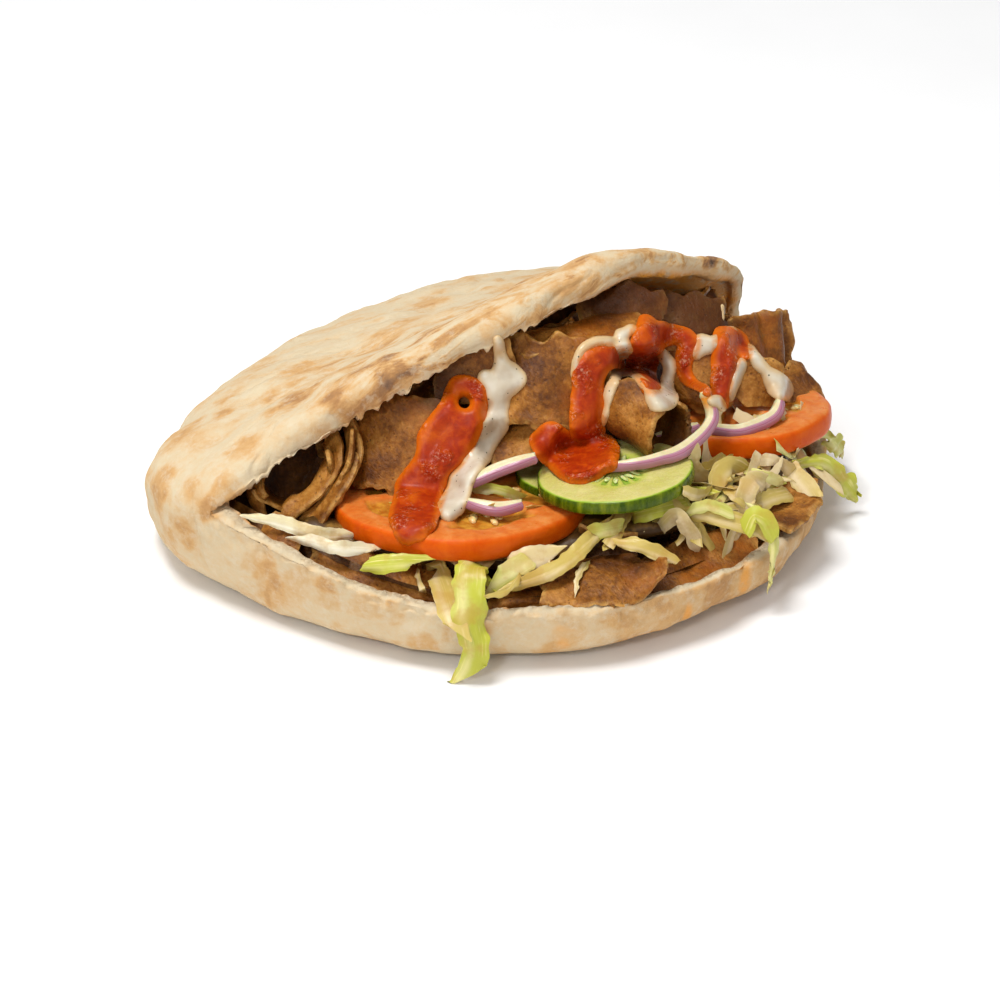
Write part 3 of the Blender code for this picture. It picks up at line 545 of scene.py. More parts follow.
def chilli_look():
    look = Look(
        "chilli_sauce", 0.3, Subsurface_Weight=0.1, Subsurface_Scale=0.002,
        Specular_IOR_Level=0.22, Subsurface_Radius=(1.0, 0.2, 0.03),
    )
    thick = look.attribute("thick")
    lumps = look.grain(3.4, 5, 0.65, 0.4)
    deep = look.ramp(lumps, (0.28, (0.28, 0.015, 0.0003)), (0.50, (0.38, 0.029, 0.0005)), (0.72, (0.53, 0.068, 0.001)))
    thin = look.ramp(lumps, (0.3, (0.58, 0.095, 0.001)), (0.7, (0.68, 0.15, 0.003)))
    colour = look.mix(look.band(thick, 0.0, 0.85), thin, deep)
    grainy = look.band(look.grain(9, 2, 0.5), 0.50, 0.60)
    look.bump(lumps, 0.35, 0.5)
    # Painted highlight: pale pink glints in the grainy patches, where the lamp would catch the sauce.
    specks_and_glints = look.band(look.grain(1.1, 2, 0.6), 0.55, 0.68)
    specks_and_glints = look.times(look.times(specks_and_glints, grainy), 0.45)
    colour = look.mix(specks_and_glints, colour, (0.80, 0.42, 0.26))
    look.bump(look.times(look.grain(1.0, 3, 0.6), grainy), 0.8, 1.0)
    return look.finish(colour, look.sum("SUBTRACT", 0.40, look.times(grainy, 0.20)))


def yoghurt_look():
    look = Look(
        "garlic_yoghurt", 0.25, Subsurface_Weight=0.3, Subsurface_Scale=0.003,
        Coat_Weight=0.1, Subsurface_Radius=(1.0, 0.9, 0.7),
    )
    cream = look.ramp(look.grain(6, 3, 0.5), (0.3, (0.58, 0.49, 0.35)), (0.7, (0.71, 0.65, 0.53)))
    colour = look.mix(look.band(look.attribute("thick"), 0.0, 0.7), (0.64, 0.44, 0.22), cream)
    bleed = look.times(look.attribute("bleed"), look.band(look.grain(3, 3, 0.6), 0.25, 0.55))
    colour = look.mix(bleed, colour, (0.66, 0.22, 0.02))
    specks_and_glints = look.band(look.cells(2.6), 0.07, 0.13)
    colour = look.mix(specks_and_glints, (0.09, 0.09, 0.05), colour)
    look.bump(look.grain(4, 3, 0.5), 0.6, 0.3)
    return look.finish(colour, look.plus(look.times(look.grain(3, 2), 0.2), 0.12))


# ---------------------------------------------------------------------------------------- mesh building
def add_mesh(name, points, faces, material, slot=None, nodes=(), attributes=None, sharp=None):
    """Adds a piece whose points are in millimetres, and hides the parts of the model that it stands for."""
    mesh = bpy.data.meshes.new(name)
    points = (np.asarray(points, float) + SHIFT) * MM
    points[:, 2] = np.maximum(points[:, 2], 0)
    mesh.from_pydata(points.tolist(), [], faces if isinstance(faces, list) else faces.tolist())
    for key, values in (attributes or {}).items():
        layer = mesh.attributes.new(key, "FLOAT", "POINT")
        layer.data.foreach_set("value", np.asarray(values, np.float32).ravel())
    mesh.polygons.foreach_set("use_smooth", np.ones(len(mesh.polygons), bool))
    mesh.materials.append(material)
    welded = bmesh.new()
    welded.from_mesh(mesh)
    bmesh.ops.remove_doubles(welded, verts=welded.verts, dist=WELD_DISTANCE)
    welded.to_mesh(mesh)
    welded.free()
    if sharp:
        mesh.set_sharp_from_angle(angle=math.radians(sharp))
    obj = bpy.data.objects.new(name, mesh)
    bpy.context.scene.collection.objects.link(obj)
    if slot:
        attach(obj, "root")
        if nodes:
            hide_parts(*nodes)
    return obj


def quads(rows, columns, start=0, closed=False):
    """The faces of a grid of points numbered row by row, its last column joined to its first if closed."""
    row = np.arange(rows - 1)[:, None]
    column = np.arange(columns if closed else columns - 1)[None, :]
    right = (column + 1) % columns
    here, after = row * columns, (row + 1) * columns
    return np.stack([here + column, here + right, after + right, after + column], axis=-1).reshape(-1, 4) + start


def normals_of(grid):
    """The surface normal at each point of a grid of rows and columns."""
    return unit(np.cross(np.gradient(grid, axis=1), np.gradient(grid, axis=0)))


def thick_sheet(grid, thickness):
    """A closed sheet round a grid of points, with its thickness at each point."""
    rows, columns = grid.shape[:2]
    out = normals_of(grid) * (np.asarray(thickness)[..., None] / 2)
    points = np.concatenate([(grid + out).reshape(-1, 3), (grid - out).reshape(-1, 3)])
    count = rows * columns
    top = quads(rows, columns)[:, ::-1]
    bottom = quads(rows, columns, count)
    index = np.arange(count).reshape(rows, columns)
    rim = np.concatenate([index[0], index[1:, -1], index[-1, -2::-1], index[-2:0:-1, 0]])
    after = np.roll(rim, -1)
    side = np.stack([rim, after, after + count, rim + count], axis=-1)
    return points, np.concatenate([top, bottom, side])


def drawn_in(points, tree, depth):
    """The points, with any that would pierce what is in the tree drawn back to that depth in it."""
    out = points - POCKET_MIDDLE
    reach = np.linalg.norm(out, axis=1)
    for i, (direction, far) in enumerate(zip(unit(out), reach)):
        hit = tree.ray_cast(Vector(POCKET_MIDDLE), Vector(direction), far)
        if hit[0] and hit[3] < far - depth:
            points[i] = POCKET_MIDDLE + direction * (hit[3] + depth)
    return points


def joined(pieces):
    """Many (points, faces, attributes) in one. Faces are arrays of corners, all of one length."""
    points, faces, attributes, start = [], [], {}, 0
    for some_points, some_faces, some_attributes in pieces:
        points.append(some_points)
        faces.append(some_faces + start)
        start += len(some_points)
        for key, values in some_attributes.items():
            attributes.setdefault(key, []).append(np.asarray(values, float).ravel())
    return np.concatenate(points), np.concatenate(faces), {k: np.concatenate(v) for k, v in attributes.items()}


# --------------------------------------------------------------------------------------------- the pitta
def slit_loop(lip, steps=SIDE_STEPS):
    """A closed loop of points: along the fold from the back corner, then along one lip of the slit."""
    return np.vstack([smooth_curve(FOLD, steps)[:-1], smooth_curve(lip, steps)[:-1]])


def inset(loop, distance):
    """The loop moved inwards in plan, by one distance or by one for each of its points."""
    reach = max(1, len(loop) // 40)
    along = np.roll(loop, -reach, axis=0) - np.roll(loop, reach, axis=0)
    inward = np.stack([along[:, 1], -along[:, 0], 0 * along[:, 0]], axis=1)
    middle = loop.mean(axis=0)
    if np.sum(inward * (middle - loop)) < 0:
        inward = -inward
    return loop + distance * inward / np.linalg.norm(inward, axis=1, keepdims=True)


def soap_film(loop, rings):
    """Rings of points that span the loop as a soap film would, from its middle, 0, to the loop, 1."""
    spectrum = np.fft.fft(loop, axis=0)
    order = np.abs(np.fft.fftfreq(len(loop), 1 / len(loop)))
    return np.array([np.real(np.fft.ifft(spectrum * (r**order)[:, None], axis=0)) for r in rings])


def shoulder(rings, power, root):
    """How high a rounded side stands at each ring, 1 in the middle and 0 at the loop."""
    return np.maximum(0, 1 - np.array(rings) ** power)[:, None] ** (1 / root)


def dome_height(x):
    fade = smooth(x, *DOME_FADE)
    return DOME_HEIGHT * (1 - DOME_FADE_SHARE * fade)


def lower_sheet(loop, rings, floor):
    film = soap_film(loop, rings)
    rise = 1 - shoulder(rings, UNDERSIDE_POWER, UNDERSIDE_ROOT)
    rise[np.array(rings) < FLAT_SHARE] = 0
    film[:, :, 2] = floor + (loop[:, 2] - floor) * rise
    return film


def upper_sheet(loop, rings, depth):
    film = soap_film(loop, rings)
    film[:, :, 2] += (dome_height(film[:, :, 0]) - depth) * shoulder(rings, DOME_POWER, DOME_ROOT)
    return film


def spots(points, places):
    """How far each point is inside any of the oval spots, each (middle, half sizes, strength)."""
    total = np.zeros(points.shape[:-1])
    for middle, half, strength in places:
        away = np.linalg.norm((points - np.array(middle)) / np.array(half), axis=-1)
        away += 0.25 * noise(points, 4.0, 91)
        total = np.maximum(total, strength * (1 - smooth(away, 0.55, 1.15)))
    return total


def bread_part(grid, flipped, closed, lip, lining, high):
    """One sheet of the bread, with how far each of its points belongs to a lip, to the lining and to the flap."""
    shape = grid.shape[:2]
    values = {"lip": np.broadcast_to(lip, shape), "lining": np.broadcast_to(lining, shape),
              "high": np.full(shape, float(high))}
    return grid.reshape(-1, 3), quads(*shape, closed=closed)[:, :: -1 if flipped else 1], values


def bread_sheets():
    """Skin, lining and lip of the base and of the dome with its flap, as (points, faces, attributes)."""
    climb = 1 - np.linspace(0.012, 1, 34)
    sink = np.linspace(0.56, 0, 13)
    outer_rings = {
        "low": np.append(np.linspace(0, FLAT_SHARE, 14), (1 - climb**UNDERSIDE_ROOT) ** (1 / UNDERSIDE_POWER)),
        "high": np.append(np.linspace(0, 0.93, 34), (1 - sink**DOME_ROOT) ** (1 / DOME_POWER)),
    }
    inner_rings = 1 - (1 - np.linspace(0, 1, 18)) ** 1.5
    columns = 2 * SIDE_STEPS
    outer = {"low": slit_loop(LOWER_LIP), "high": slit_loop(UPPER_LIP)}
    fold_inner = inset(outer["low"], BREAD_WALL)
    thin = {"low": 2.6 + 0 * outer["low"][:, 0], "high": 3.0 + 0.5 * smooth(outer["high"][:, 0], 10, 40)}
    slit = np.arange(SIDE_STEPS, columns + 1) % columns
    ends = np.sin(np.linspace(0, math.pi, SIDE_STEPS + 1)) ** 0.35
    slit_share = np.zeros(columns)
    slit_share[slit] = ends
    pieces = []
    for half in ("low", "high"):
        inner = inset(outer[half], (BREAD_WALL - thin[half] * slit_share)[:, None])
        high = half == "high"
        if high:
            inner[:, 2] -= 5.5 * smooth(inner[:, 0], 12, 40) * slit_share
        inner[: SIDE_STEPS + 1] = fold_inner[: SIDE_STEPS + 1]
        if high:
            skin = upper_sheet(outer[half], outer_rings[half], 0)
            shape = shoulder(outer_rings[half], DOME_POWER, DOME_ROOT)
            lining = upper_sheet(inner, inner_rings, BREAD_WALL)
        else:
            skin = lower_sheet(outer[half], outer_rings[half], 0)
            shape = shoulder(outer_rings[half], UNDERSIDE_POWER, UNDERSIDE_ROOT)
            lining = lower_sheet(inner, inner_rings, BREAD_WALL)
        near = (1 - smooth(shape, 0, 0.24)) * slit_share
        pieces.append(bread_part(skin, high, True, near, 0, high))
        inner_near = smooth(inner_rings, 0.93, 1.0)[:, None] * slit_share
        pieces.append(bread_part(lining, not high, True, inner_near, 1, high))
        over = np.linspace(0, math.pi, 11)[:, None, None]
        across = 0.5 - 0.5 * np.cos(over)
        edge = outer[half][slit][None] * (1 - across) + inner[slit][None] * across
        out = unit(np.array([0, -0.7, -0.7])) if high else np.array([0, 0, 1.0])
        thick = high * smooth(edge[0, :, 0], 25, 55)[None, :, None]
        bulge = np.sin(over) * (1.5 + 1.6 * thick) * ends[None, :, None]
        pieces.append(bread_part(edge + bulge * out, high, False, ends, across[..., 0], high))
    return joined(pieces)


def welded(points, faces, values):
    """The sheets made one by joining the points that are in one place, as polygons with each point's normal."""
    _, first, where = np.unique(np.round(points, 3), axis=0, return_index=True, return_inverse=True)
    points = points[first]
    values = {k: v[first] for k, v in values.items()}
    faces = where.ravel()[faces]
    polygons = []
    for face in faces.tolist():
        kept = [v for i, v in enumerate(face) if v != face[i - 1]]
        if len(kept) > 2 and len(set(kept)) == len(kept):
            polygons.append(kept)
    corner = np.array([(p + [p[-1]])[:4] for p in polygons])
    face_normal = np.cross(points[corner[:, 2]] - points[corner[:, 0]], points[corner[:, 3]] - points[corner[:, 1]])
    normal = np.zeros_like(points)
    for k in range(4):
        np.add.at(normal, corner[:, k], face_normal)
    return points, polygons, values, unit(normal)


def make_bread(material):
    """The pitta with its uneven crust, torn lips and crumbs, how baked and how stained it is all over, and the shade
    painted on the right of its lower half.
    """
    points, polygons, values, normal = welded(*bread_sheets())
    x, _, z = points.T
    crust = 1 - smooth(values["lining"], 0.0, 0.3)
    standing = smooth(z, 0.6, 5.0)
    bumps = 0.9 * noise(points, 22, 1) + 0.6 * noise(points, 9.5, 2) + 0.22 * noise(points, 4, 3, 2)
    crease = np.abs(noise(points * [1, 1, 0.3], 9, 5))
    bumps -= 0.55 * (1 - smooth(crease, 0.0, 0.16)) * smooth(noise(points, 30, 6), 0.0, 0.5)
    points = points + normal * (bumps * standing)[:, None]
    lip = values["lip"]
    low = values["high"] < 0.5
    torn = smooth(noise(points, 17, 14), -0.5, 0.4)
    thorns = np.maximum(0, noise(points * [1, 1, 0.3], 1.7, 12) - 0.1) * 2.0 + 0.7 * noise(points, 1.3, 13)
    ragged = 0.8 * noise(points, 10, 11) + thorns * (0.5 + 0.5 * torn) * np.where(low, 0.15, 1) - 1.0
    down = np.where(values["high"][:, None] > 0.5, [0.0, -0.25, -1.0], [0.0, 0.0, 1.0])
    smoother = np.where(low, 0.7, 1 - 0.8 * smooth(x, -5, 30))
    points = points + down * (lip * ragged * smoother)[:, None]
    points[:, 2] += 3.4 * lip * ~low * smooth(x, -92, -76) * (1 - smooth(x, -60, -44))
    crumbs = np.maximum(-0.3, noise(points, 3.0, 17, 2)) * 1.2 + 0.3 * noise(points, 1.6, 18)
    crumbly = 0.9 + 1.0 * (1 - smooth(x, -5, 40))
    points = points + np.outer(lip**0.5 * low * standing * (crumbs * crumbly - 0.5), (0, -0.5, 0.65))
    points[:, 2] = np.maximum(points[:, 2], 0)
    broad = smooth(noise(points, 34, 22, 2), -0.5, 0.7)
    values["top"] = (0.05 + 0.95 * smooth(z, 42, 68) * values["high"]) * (0.55 + 0.45 * broad) * crust
    brown = 0.03 + 0.30 * smooth(noise(points * [1, 1, 0.6], 9, 28, 2), 0.1, 0.8) * (0.4 + 0.6 * broad)
    brown += 0.3 * (1 - smooth(z, 0.2, 1.6)) * smooth(noise(points, 16, 26, 2), -0.2, 0.6)
    # The lower half is made darker, more towards its right: painted shade, away from the light.
    brown += (0.05 + 0.19 * smooth(x, 5, 60)) * low
    brown = np.maximum(brown, spots(points, BROWN_SPOTS))
    values["brown"] = np.clip(brown, 0, 1) * crust
    values["crumb"] = np.clip(lip * smooth(values["lining"], 0.25, 0.6), 0, 1)
    inside = smooth(values["lining"], np.where(low, 0.8, 0.5), 1.0)
    stain = inside * (0.7 + 0.3 * smooth(noise(points, 14, 27, 2), -0.3, 0.5))
    greasy = smooth(values["lining"], 0.1, 0.5) * smooth(x, 12, 34) * ~low
    stain = np.maximum(stain, greasy * (0.65 + 0.35 * smooth(noise(points, 8, 31, 2), -0.4, 0.4)))
    stain = np.maximum(stain, spots(points, DRIP_STAINS))
    values["stain"] = stain
    attributes = {k: values[k] for k in ("brown", "top", "crumb", "stain")}
    add_mesh("pitta", points, polygons, material, "bread", ["bread"], attributes)


BROWN_SPOTS = [
    ((-72, -85, 18), (5, 5, 7), 0.36), ((-55, -98, 12), (4, 4, 6), 0.30), ((-38, -104, 12), (5, 5, 8), 0.34),
    ((-20, -106, 8), (7, 5, 5), 0.32), ((-88, -70, 20), (6, 6, 9), 0.34), ((-96, -55, 30), (7, 7, 12), 0.38),
    ((-70, -60, 46), (7, 6, 8), 0.32), ((-40, -55, 58), (7, 6, 9), 0.30), ((-24, -52, 66), (8, 6, 8), 0.34),
    ((-46, -96, 22), (4, 4, 5), 0.32), ((-3, -110, 13), (5, 4, 5), 0.28), ((-63, -91, 22), (3, 3, 4), 0.30),
    ((30, -112, 10), (9, 5, 7), 0.34), ((-60, -40, 54), (12, 9, 6), 0.5), ((-30, -30, 72), (14, 8, 5), 0.5),
]
DRIP_STAINS = [
    ((21, -110, 9), (3.6, 8, 8), 0.55), ((57, -94, 9), (1.4, 8, 7), 0.8), ((74, -80, 11), (1.8, 8, 8), 0.8),
    ((44, -16, 68), (22, 20, 8), 0.5),
]


# ----------------------------------------------------------------------------------------------- the meat
def slice_points(size, bend, seed, pleat, curl, step, point):
    """A shaved slice in its own plane: uneven at its edges, and bent along its length."""
    length, width = size
    columns = 2 * int(length / step / 2) + 1
    rows = int(width / step) + 1
    s = np.linspace(-1, 1, columns)
    t = np.linspace(-1, 1, rows)
    points = np.zeros((rows, columns, 3))
    for i, across in enumerate(t):
        reach = math.sqrt(1 - SLICE_OVAL * across**2) * (1 + 0.05 * waves(seed, across, 2.2))
        along = s * reach
        angle = bend / 2 * along + pleat * np.sin(3 * math.pi * along) + curl * np.maximum(along, 0) ** 3
        angle = np.radians(angle + SLICE_TWIST * across * along)
        stride = length * reach / (columns - 1)
        x = np.concatenate([[0], np.cumsum(np.cos((angle[1:] + angle[:-1]) / 2) * stride)])
        z = np.concatenate([[0], np.cumsum(np.sin((angle[1:] + angle[:-1]) / 2) * stride)])
        half = columns // 2
        spread = np.sqrt(1 - SLICE_OVAL * s**2) * (1 + 0.06 * waves(seed + 1, s, 2.6))
        spread = spread * (1 - abs(point) * smooth(s * np.sign(point), 0.1, 1.1))
        points[i, :, 0] = x - x[half]
        points[i, :, 1] = width / 2 * across * spread
        points[i, :, 2] = z - z[half] + 0.5 * waves(seed + 2, across + s, 1.5)
    return points


def edge_distance(rows, columns, step):
    """How far each point of a grid is from its edge, in millimetres along the sheet."""
    r = np.minimum(np.arange(rows), np.arange(rows)[::-1])[:, None]
    c = np.minimum(np.arange(columns), np.arange(columns)[::-1])[None, :]
    return np.minimum(r, c) * step


def meat_sheet(size, bend, seed, place, pleat=0, curl=0, thickness=SLICE_THICKNESS, step=0.9, point=0):
    """One real slice: ragged edges, an uneven thickness, soft hollows and a few torn nicks."""
    grid = slice_points(size, bend, seed, pleat, curl, step, point)
    rows, columns = grid.shape[:2]
    inside = edge_distance(rows, columns, step)
    along = unit(np.gradient(grid, axis=1))
    across = unit(np.gradient(grid, axis=0))
    rim = 1 - smooth(inside, 0, 4.5)
    far = np.linspace(-1, 1, columns)[None, :]
    wide = np.linspace(-1, 1, rows)[:, None]
    ragged = 0.8 * noise(grid, 5, seed) + 0.45 * noise(grid, 2.1, seed + 1)
    nick = np.maximum(0, noise(grid, 6.5, seed + 5) - 0.4) * 3.4
    pull = (ragged - nick) * rim * min(1, (size[1] / 18) ** 1.5)
    grid = grid + along * (pull * far)[..., None] + across * (pull * wide)[..., None]
    normal = normals_of(grid)
    waver = 0.8 * noise(grid, 12, seed + 2) + 0.25 * noise(grid, 4, seed + 3, 2)
    lift = 1.3 * noise(grid, 9, seed + 6) * rim
    grid = grid + normal * (waver + lift)[..., None]
    depth = 0.8 * thickness * (0.80 + 0.16 * noise(grid, 9, seed + 4))
    depth = depth * (0.5 + 0.5 * smooth(inside + 0.35 * step, 0, 1.8))
    points, faces = thick_sheet(moved(grid, place), depth)
    edge = np.tile(1 - smooth(inside, 0, 1.8), (2, 1, 1))
    return points, faces, {"edge": edge}


def stain_near(points, centres, reach):
    """1 near any of the centres, falling to 0 at the reach."""
    nearest = np.full(len(points), 1e9)
    for centre in np.asarray(centres, float):
        nearest = np.minimum(nearest, np.linalg.norm(points - centre, axis=1))
    return 1 - smooth(nearest, reach * 0.4, reach)


STAIN_CENTRES = [
    (40, -10, 68), (54, -8, 62), (62, -6, 56), (30, -28, 66), (-14, -50, 52), (72, -70, 22), (60, -80, 20),
    (46, -90, 21), (86, 8, 46), (28, -46, 50),
]
# Places around which the meat is darkened as painted shade: under the flap, in the hollows and under the lip.
PAINTED_SHADE_CENTRES = [
    (58, -2, 64), (50, 2, 68), (64, 2, 58), (60, -8, 60), (70, -4, 54), (52, -6, 64), (-12, -46, 58),
    (40, -52, 33), (56, -44, 38), (34, -80, 21), (44, -84, 20), (46, -8, 70), (36, -12, 70),
]
POINTED = {"meat_rim_big": 0.75, "meat_rim_far": 0.6, "meat_top_fold": 0.4, "meat_right_torn": -0.4}


def make_slices(material, tree):
    for seed, (name, slice_) in enumerate(SLICES.items()):
        shape = {key: slice_[key] for key in ("size", "bend", "pleat", "curl") if key in slice_}
        points, faces, values = meat_sheet(
            seed=seed * 10, place=place_of(slice_), point=POINTED.get(name, 0), **shape
        )
        values["stain"] = stain_near(points, STAIN_CENTRES, 13)
        values["juicy"] = stain_near(points, PAINTED_SHADE_CENTRES, 13)
        if name == "meat_rim_crumb":
            points[:, 2] -= CRUMB_SINK
        low, high = (np.array(list(corner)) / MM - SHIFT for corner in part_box(name))
        points = np.clip(points, low - SLICE_MARGIN, high + SLICE_MARGIN)
        points = drawn_in(points, tree, SLICE_DEPTH)
        add_mesh(name + "_slice", points, faces, material, "meat", [name], values, SHARP_MEAT)


HEAP_DEPTH = BREAD_WALL + 1.2
HEAP_SETBACK = 10.0
HEAP_SHELF = 12.0
HEAP_WALL_START = 0.75
HEAP_OPEN_SPAN = 25.0
HEAP_COLUMNS, HEAP_SHARES = 60, np.linspace(0, 1, 13)  # the grid of its front, along the slit and up it
FAR_RIGHT = (62, 2)  # the X and Y beyond which the filling slices lie
HEAP_RINGS = (0.0, 0.45, 0.75, 0.92, 1.0)  # from the middle of its floor and roof to their edge
HEAP_STEP, HEAP_THICKNESS = 1.5, 2.3  # of the slices in it
HEAP_CORE_DEPTH = -0.8  # how far the core may go into the bread
BANDS = [  # strips of meat in the left corner, as (X, distance up the slope, distance out from it), and their width
    ([(-65.8, 1.5, 68), (-67.0, -3.5, 70), (-64.0, -9.9, 71)], 8),
    ([(-46.5, 13.0, 66), (-44.5, 6.7, 69), (-49.0, -3.0, 71), (-59.5, -10.8, 72)], 8),
    ([(-40.4, 15.5, 66), (-39.0, 6.7, 69), (-43.5, -4.0, 71), (-52.0, -12.2, 72)], 7),
    ([(-38.5, 9.0, 69), (-41.0, 0.0, 72), (-46.0, -8.0, 74), (-51.0, -14.5, 74)], 7),
]
HOLLOWS = [((-53, -57, 25), 22), ((46, -46, 38), 17), ((34, -84, 19), 13), ((57, -4, 62), 13)]


def heap_parts(columns, shares, extra=0.0):
    """The heap's floor, roof and front, as grids of points, drawn in by the extra depth."""
    depth = HEAP_DEPTH + extra
    low = inset(slit_loop(LOWER_LIP, columns), depth)
    high = inset(slit_loop(UPPER_LIP, columns), depth)
    back = inset(high, HEAP_SETBACK) - high
    along = np.linspace(0, math.pi, columns + 1)[:-1]
    high[columns:] += back[columns:] * np.sqrt(np.sin(along))[:, None]
    high[: columns + 1] = low[: columns + 1]
    high[0] = low[0]
    floor = lower_sheet(low, HEAP_RINGS, depth)
    roof = upper_sheet(high, HEAP_RINGS, depth)
    slit = slice(columns, None)
    near = np.vstack([low[slit], low[:1]])
    far = np.vstack([high[slit], high[:1]])
    rows = []
    for share in shares:
        row = near + (far - near) * share
        climb = max(0, (share - HEAP_WALL_START) / (1 - HEAP_WALL_START))
        shelf = np.minimum(near[:, 2], HEAP_SHELF)
        height = shelf + (far[:, 2] - shelf) * climb
        span = np.linalg.norm((far - near)[:, :2], axis=1)
        open_here = (0 < share < 1) * np.clip(span / HEAP_OPEN_SPAN, 0, 1)
        row[:, 2] += (height - row[:, 2]) * open_here
        rows.append(row)
    return floor, roof, np.array(rows)


def lying(at, out, rng, sink, lean):
    """A place on a surface that faces out there, sunk in it and leaning by random amounts."""
    turn = math.degrees(math.atan2(out[0], -out[1]))
    tilt = math.degrees(math.atan2(math.hypot(out[0], out[1]), out[2]))
    return placed(at - out * rng.uniform(*sink), turn + rng.uniform(-20, 20), tilt + rng.uniform(-lean, lean),
                  rng.uniform(-18, 18), rng.uniform(-35, 35))


def make_heap_core(material, tree):
    """What is deep in the pocket, and only shows as shade between the slices."""
    floor, roof, front = heap_parts(HEAP_COLUMNS, HEAP_SHARES, extra=2.5)
    pieces = []
    roof[:, :, 2] -= 6 * (1 - np.array(HEAP_RINGS)[:, None] ** 6)
    for grid, closed in ((floor, True), (roof, True), (front, False)):
        flat = grid.reshape(-1, 3)
        rough = flat + np.array([0, -0.4, 0.4]) * (1.6 * noise(flat, 9, 51) + 0.8 * noise(flat, 4, 52))[:, None]
        pieces.append((rough, quads(*grid.shape[:2], closed=closed), {}))
    points, faces, _ = joined(pieces)
    points[:, 2] -= 9 * smooth(points[:, 0], 15, 35) * smooth(points[:, 2], 35, 60)
    points = drawn_in(points, tree, HEAP_CORE_DEPTH)
    add_mesh("meat_heap_core", points, faces, material, "meat")


def make_heap_slices(material, tree):
    """Slices over the front of the core, more that close it off at the far right, and strips at the left."""
    rng = np.random.default_rng(8)
    _, _, front = heap_parts(HEAP_COLUMNS, HEAP_SHARES)
    normal = -normals_of(front)
    if normal[len(HEAP_SHARES) // 2, HEAP_COLUMNS // 2] @ OUTWARD < 0:
        normal = -normal
    pieces = []
    for column in range(5, 58, 2):
        for share in (2, 5, 8, 10, 11):
            at = front[share, column]
            out = normal[share, column]
            if any(np.linalg.norm(at - middle) < reach for middle, reach in HOLLOWS) or share > 9 and at[0] > 26:
                continue
            size = (rng.uniform(20, 32), rng.uniform(12, 19))
            place = lying(at, out, rng, (2.6, 4.2), 22)
            points, faces, values = meat_sheet(
                size, rng.uniform(-80, 50), 400 + len(pieces), place, step=HEAP_STEP, thickness=HEAP_THICKNESS
            )
            points = drawn_in(points, tree, SLICE_DEPTH)
            # Painted shade: every heap slice is somewhat darkened, and more so near those places.
            values["juicy"] = 0.25 + 0.75 * stain_near(points, PAINTED_SHADE_CENTRES, 16)
            pieces.append((points, faces, values))
    filler = np.random.default_rng(9)
    for column in range(1, 59):
        for share in (3, 6, 9, 11):
            at = front[share, column]
            out = normal[share, column]
            if at[0] < FAR_RIGHT[0] or at[1] < FAR_RIGHT[1]:
                continue
            place = lying(at, out, filler, (-1.0, 2.0), 30)
            size = (filler.uniform(18, 28), filler.uniform(12, 18))
            seed = 700 + 7 * column + share
            points, faces, values = meat_sheet(
                size, filler.uniform(-80, 50), seed, place, step=HEAP_STEP, thickness=HEAP_THICKNESS
            )
            values["juicy"] = np.zeros(len(points))
            pieces.append((drawn_in(points, tree, SLICE_DEPTH), faces, values))
    for number, (path, width) in enumerate(BANDS):
        path = [x * np.array([1.0, 0, 0]) + rise * UP_SLOPE + out * OUTWARD for x, rise, out in path]
        facing = 0.55 * OUTWARD - [0.85, 0, 0]
        points, faces, values = leaf_strand(
            path, width, facing, 520 + 5 * number, 2.2, 0.2, 0.8, 0.3, (0.9, 0.9), frill=0.02
        )
        values = {"edge": values["edge"], "juicy": np.zeros(len(points))}
        pieces.append((drawn_in(points, tree, SLICE_DEPTH), faces, values))
    points, faces, values = joined(pieces)
    values["stain"] = stain_near(points, STAIN_CENTRES, 13)
    add_mesh("meat_heap_slices", points, faces, material, "meat", ["meat_heap"], values, SHARP_MEAT)


# ---------------------------------------------------------------------------------- tomato and cucumber
SEED_GRID = (6, 8)
SEED_TILT = 14


def disc_grid(name, rings, columns):
    """A round slice as rings of points: over the top from the middle, down the side, and back below.
    Also each point's share of the radius, 1 for its top and -1 for its bottom, and the angles of the columns."""
    share = np.concatenate([np.linspace(0, 0.93, rings), [0.965, 0.985, 0.996, 1.0]])
    drop = np.concatenate([np.zeros(rings), [0.03, 0.08, 0.16, 0.28]])
    share = np.concatenate([share, [1.004, 1.004], share[::-1]])
    drop = np.concatenate([drop, [0.42, 0.58], 1 - drop[::-1]])
    angle = np.linspace(0, 2 * math.pi, columns, endpoint=False)
    grid = np.zeros((len(share), columns, 3))
    radius = DISCS[name]["radius"]
    grid[..., 0] = radius * share[:, None] * np.cos(angle)
    grid[..., 1] = radius * share[:, None] * np.sin(angle)
    grid[..., 2] = -DISCS[name]["thickness"] * drop[:, None]
    side = np.where(drop[:, None] < 0.3, 1.0, np.where(drop[:, None] > 0.7, -1.0, 0.0))
    return grid, share[:, None] * np.ones_like(angle), side, angle


def seed_shape(middle, half, turn, rng):
    """A small flattened drop."""
    rows, columns = SEED_GRID
    polar = np.linspace(0.02, math.pi - 0.02, rows)[:, None]
    angle = np.linspace(0, 2 * math.pi, columns, endpoint=False)[None, :]
    narrow = 1 - 0.25 * np.cos(angle) * np.sin(polar)
    shape = np.stack([
        half[0] * np.sin(polar) * np.cos(angle) + 0 * polar,
        half[1] * np.sin(polar) * np.sin(angle) * narrow,
        half[2] * np.cos(polar) + 0 * angle,
    ], axis=-1)
    matrix = placed(middle, math.degrees(turn), rng.uniform(-SEED_TILT, SEED_TILT), rng.uniform(-SEED_TILT, SEED_TILT))
    return moved(shape, matrix).reshape(-1, 3), quads(rows, columns, closed=True), {}


def add_disc(name, slot, grid, values, material):
    points = moved(grid, place_of(DISCS[name])).reshape(-1, 3)
    add_mesh(name + "_slice", points, quads(*grid.shape[:2], closed=True), material, slot, [name], values)


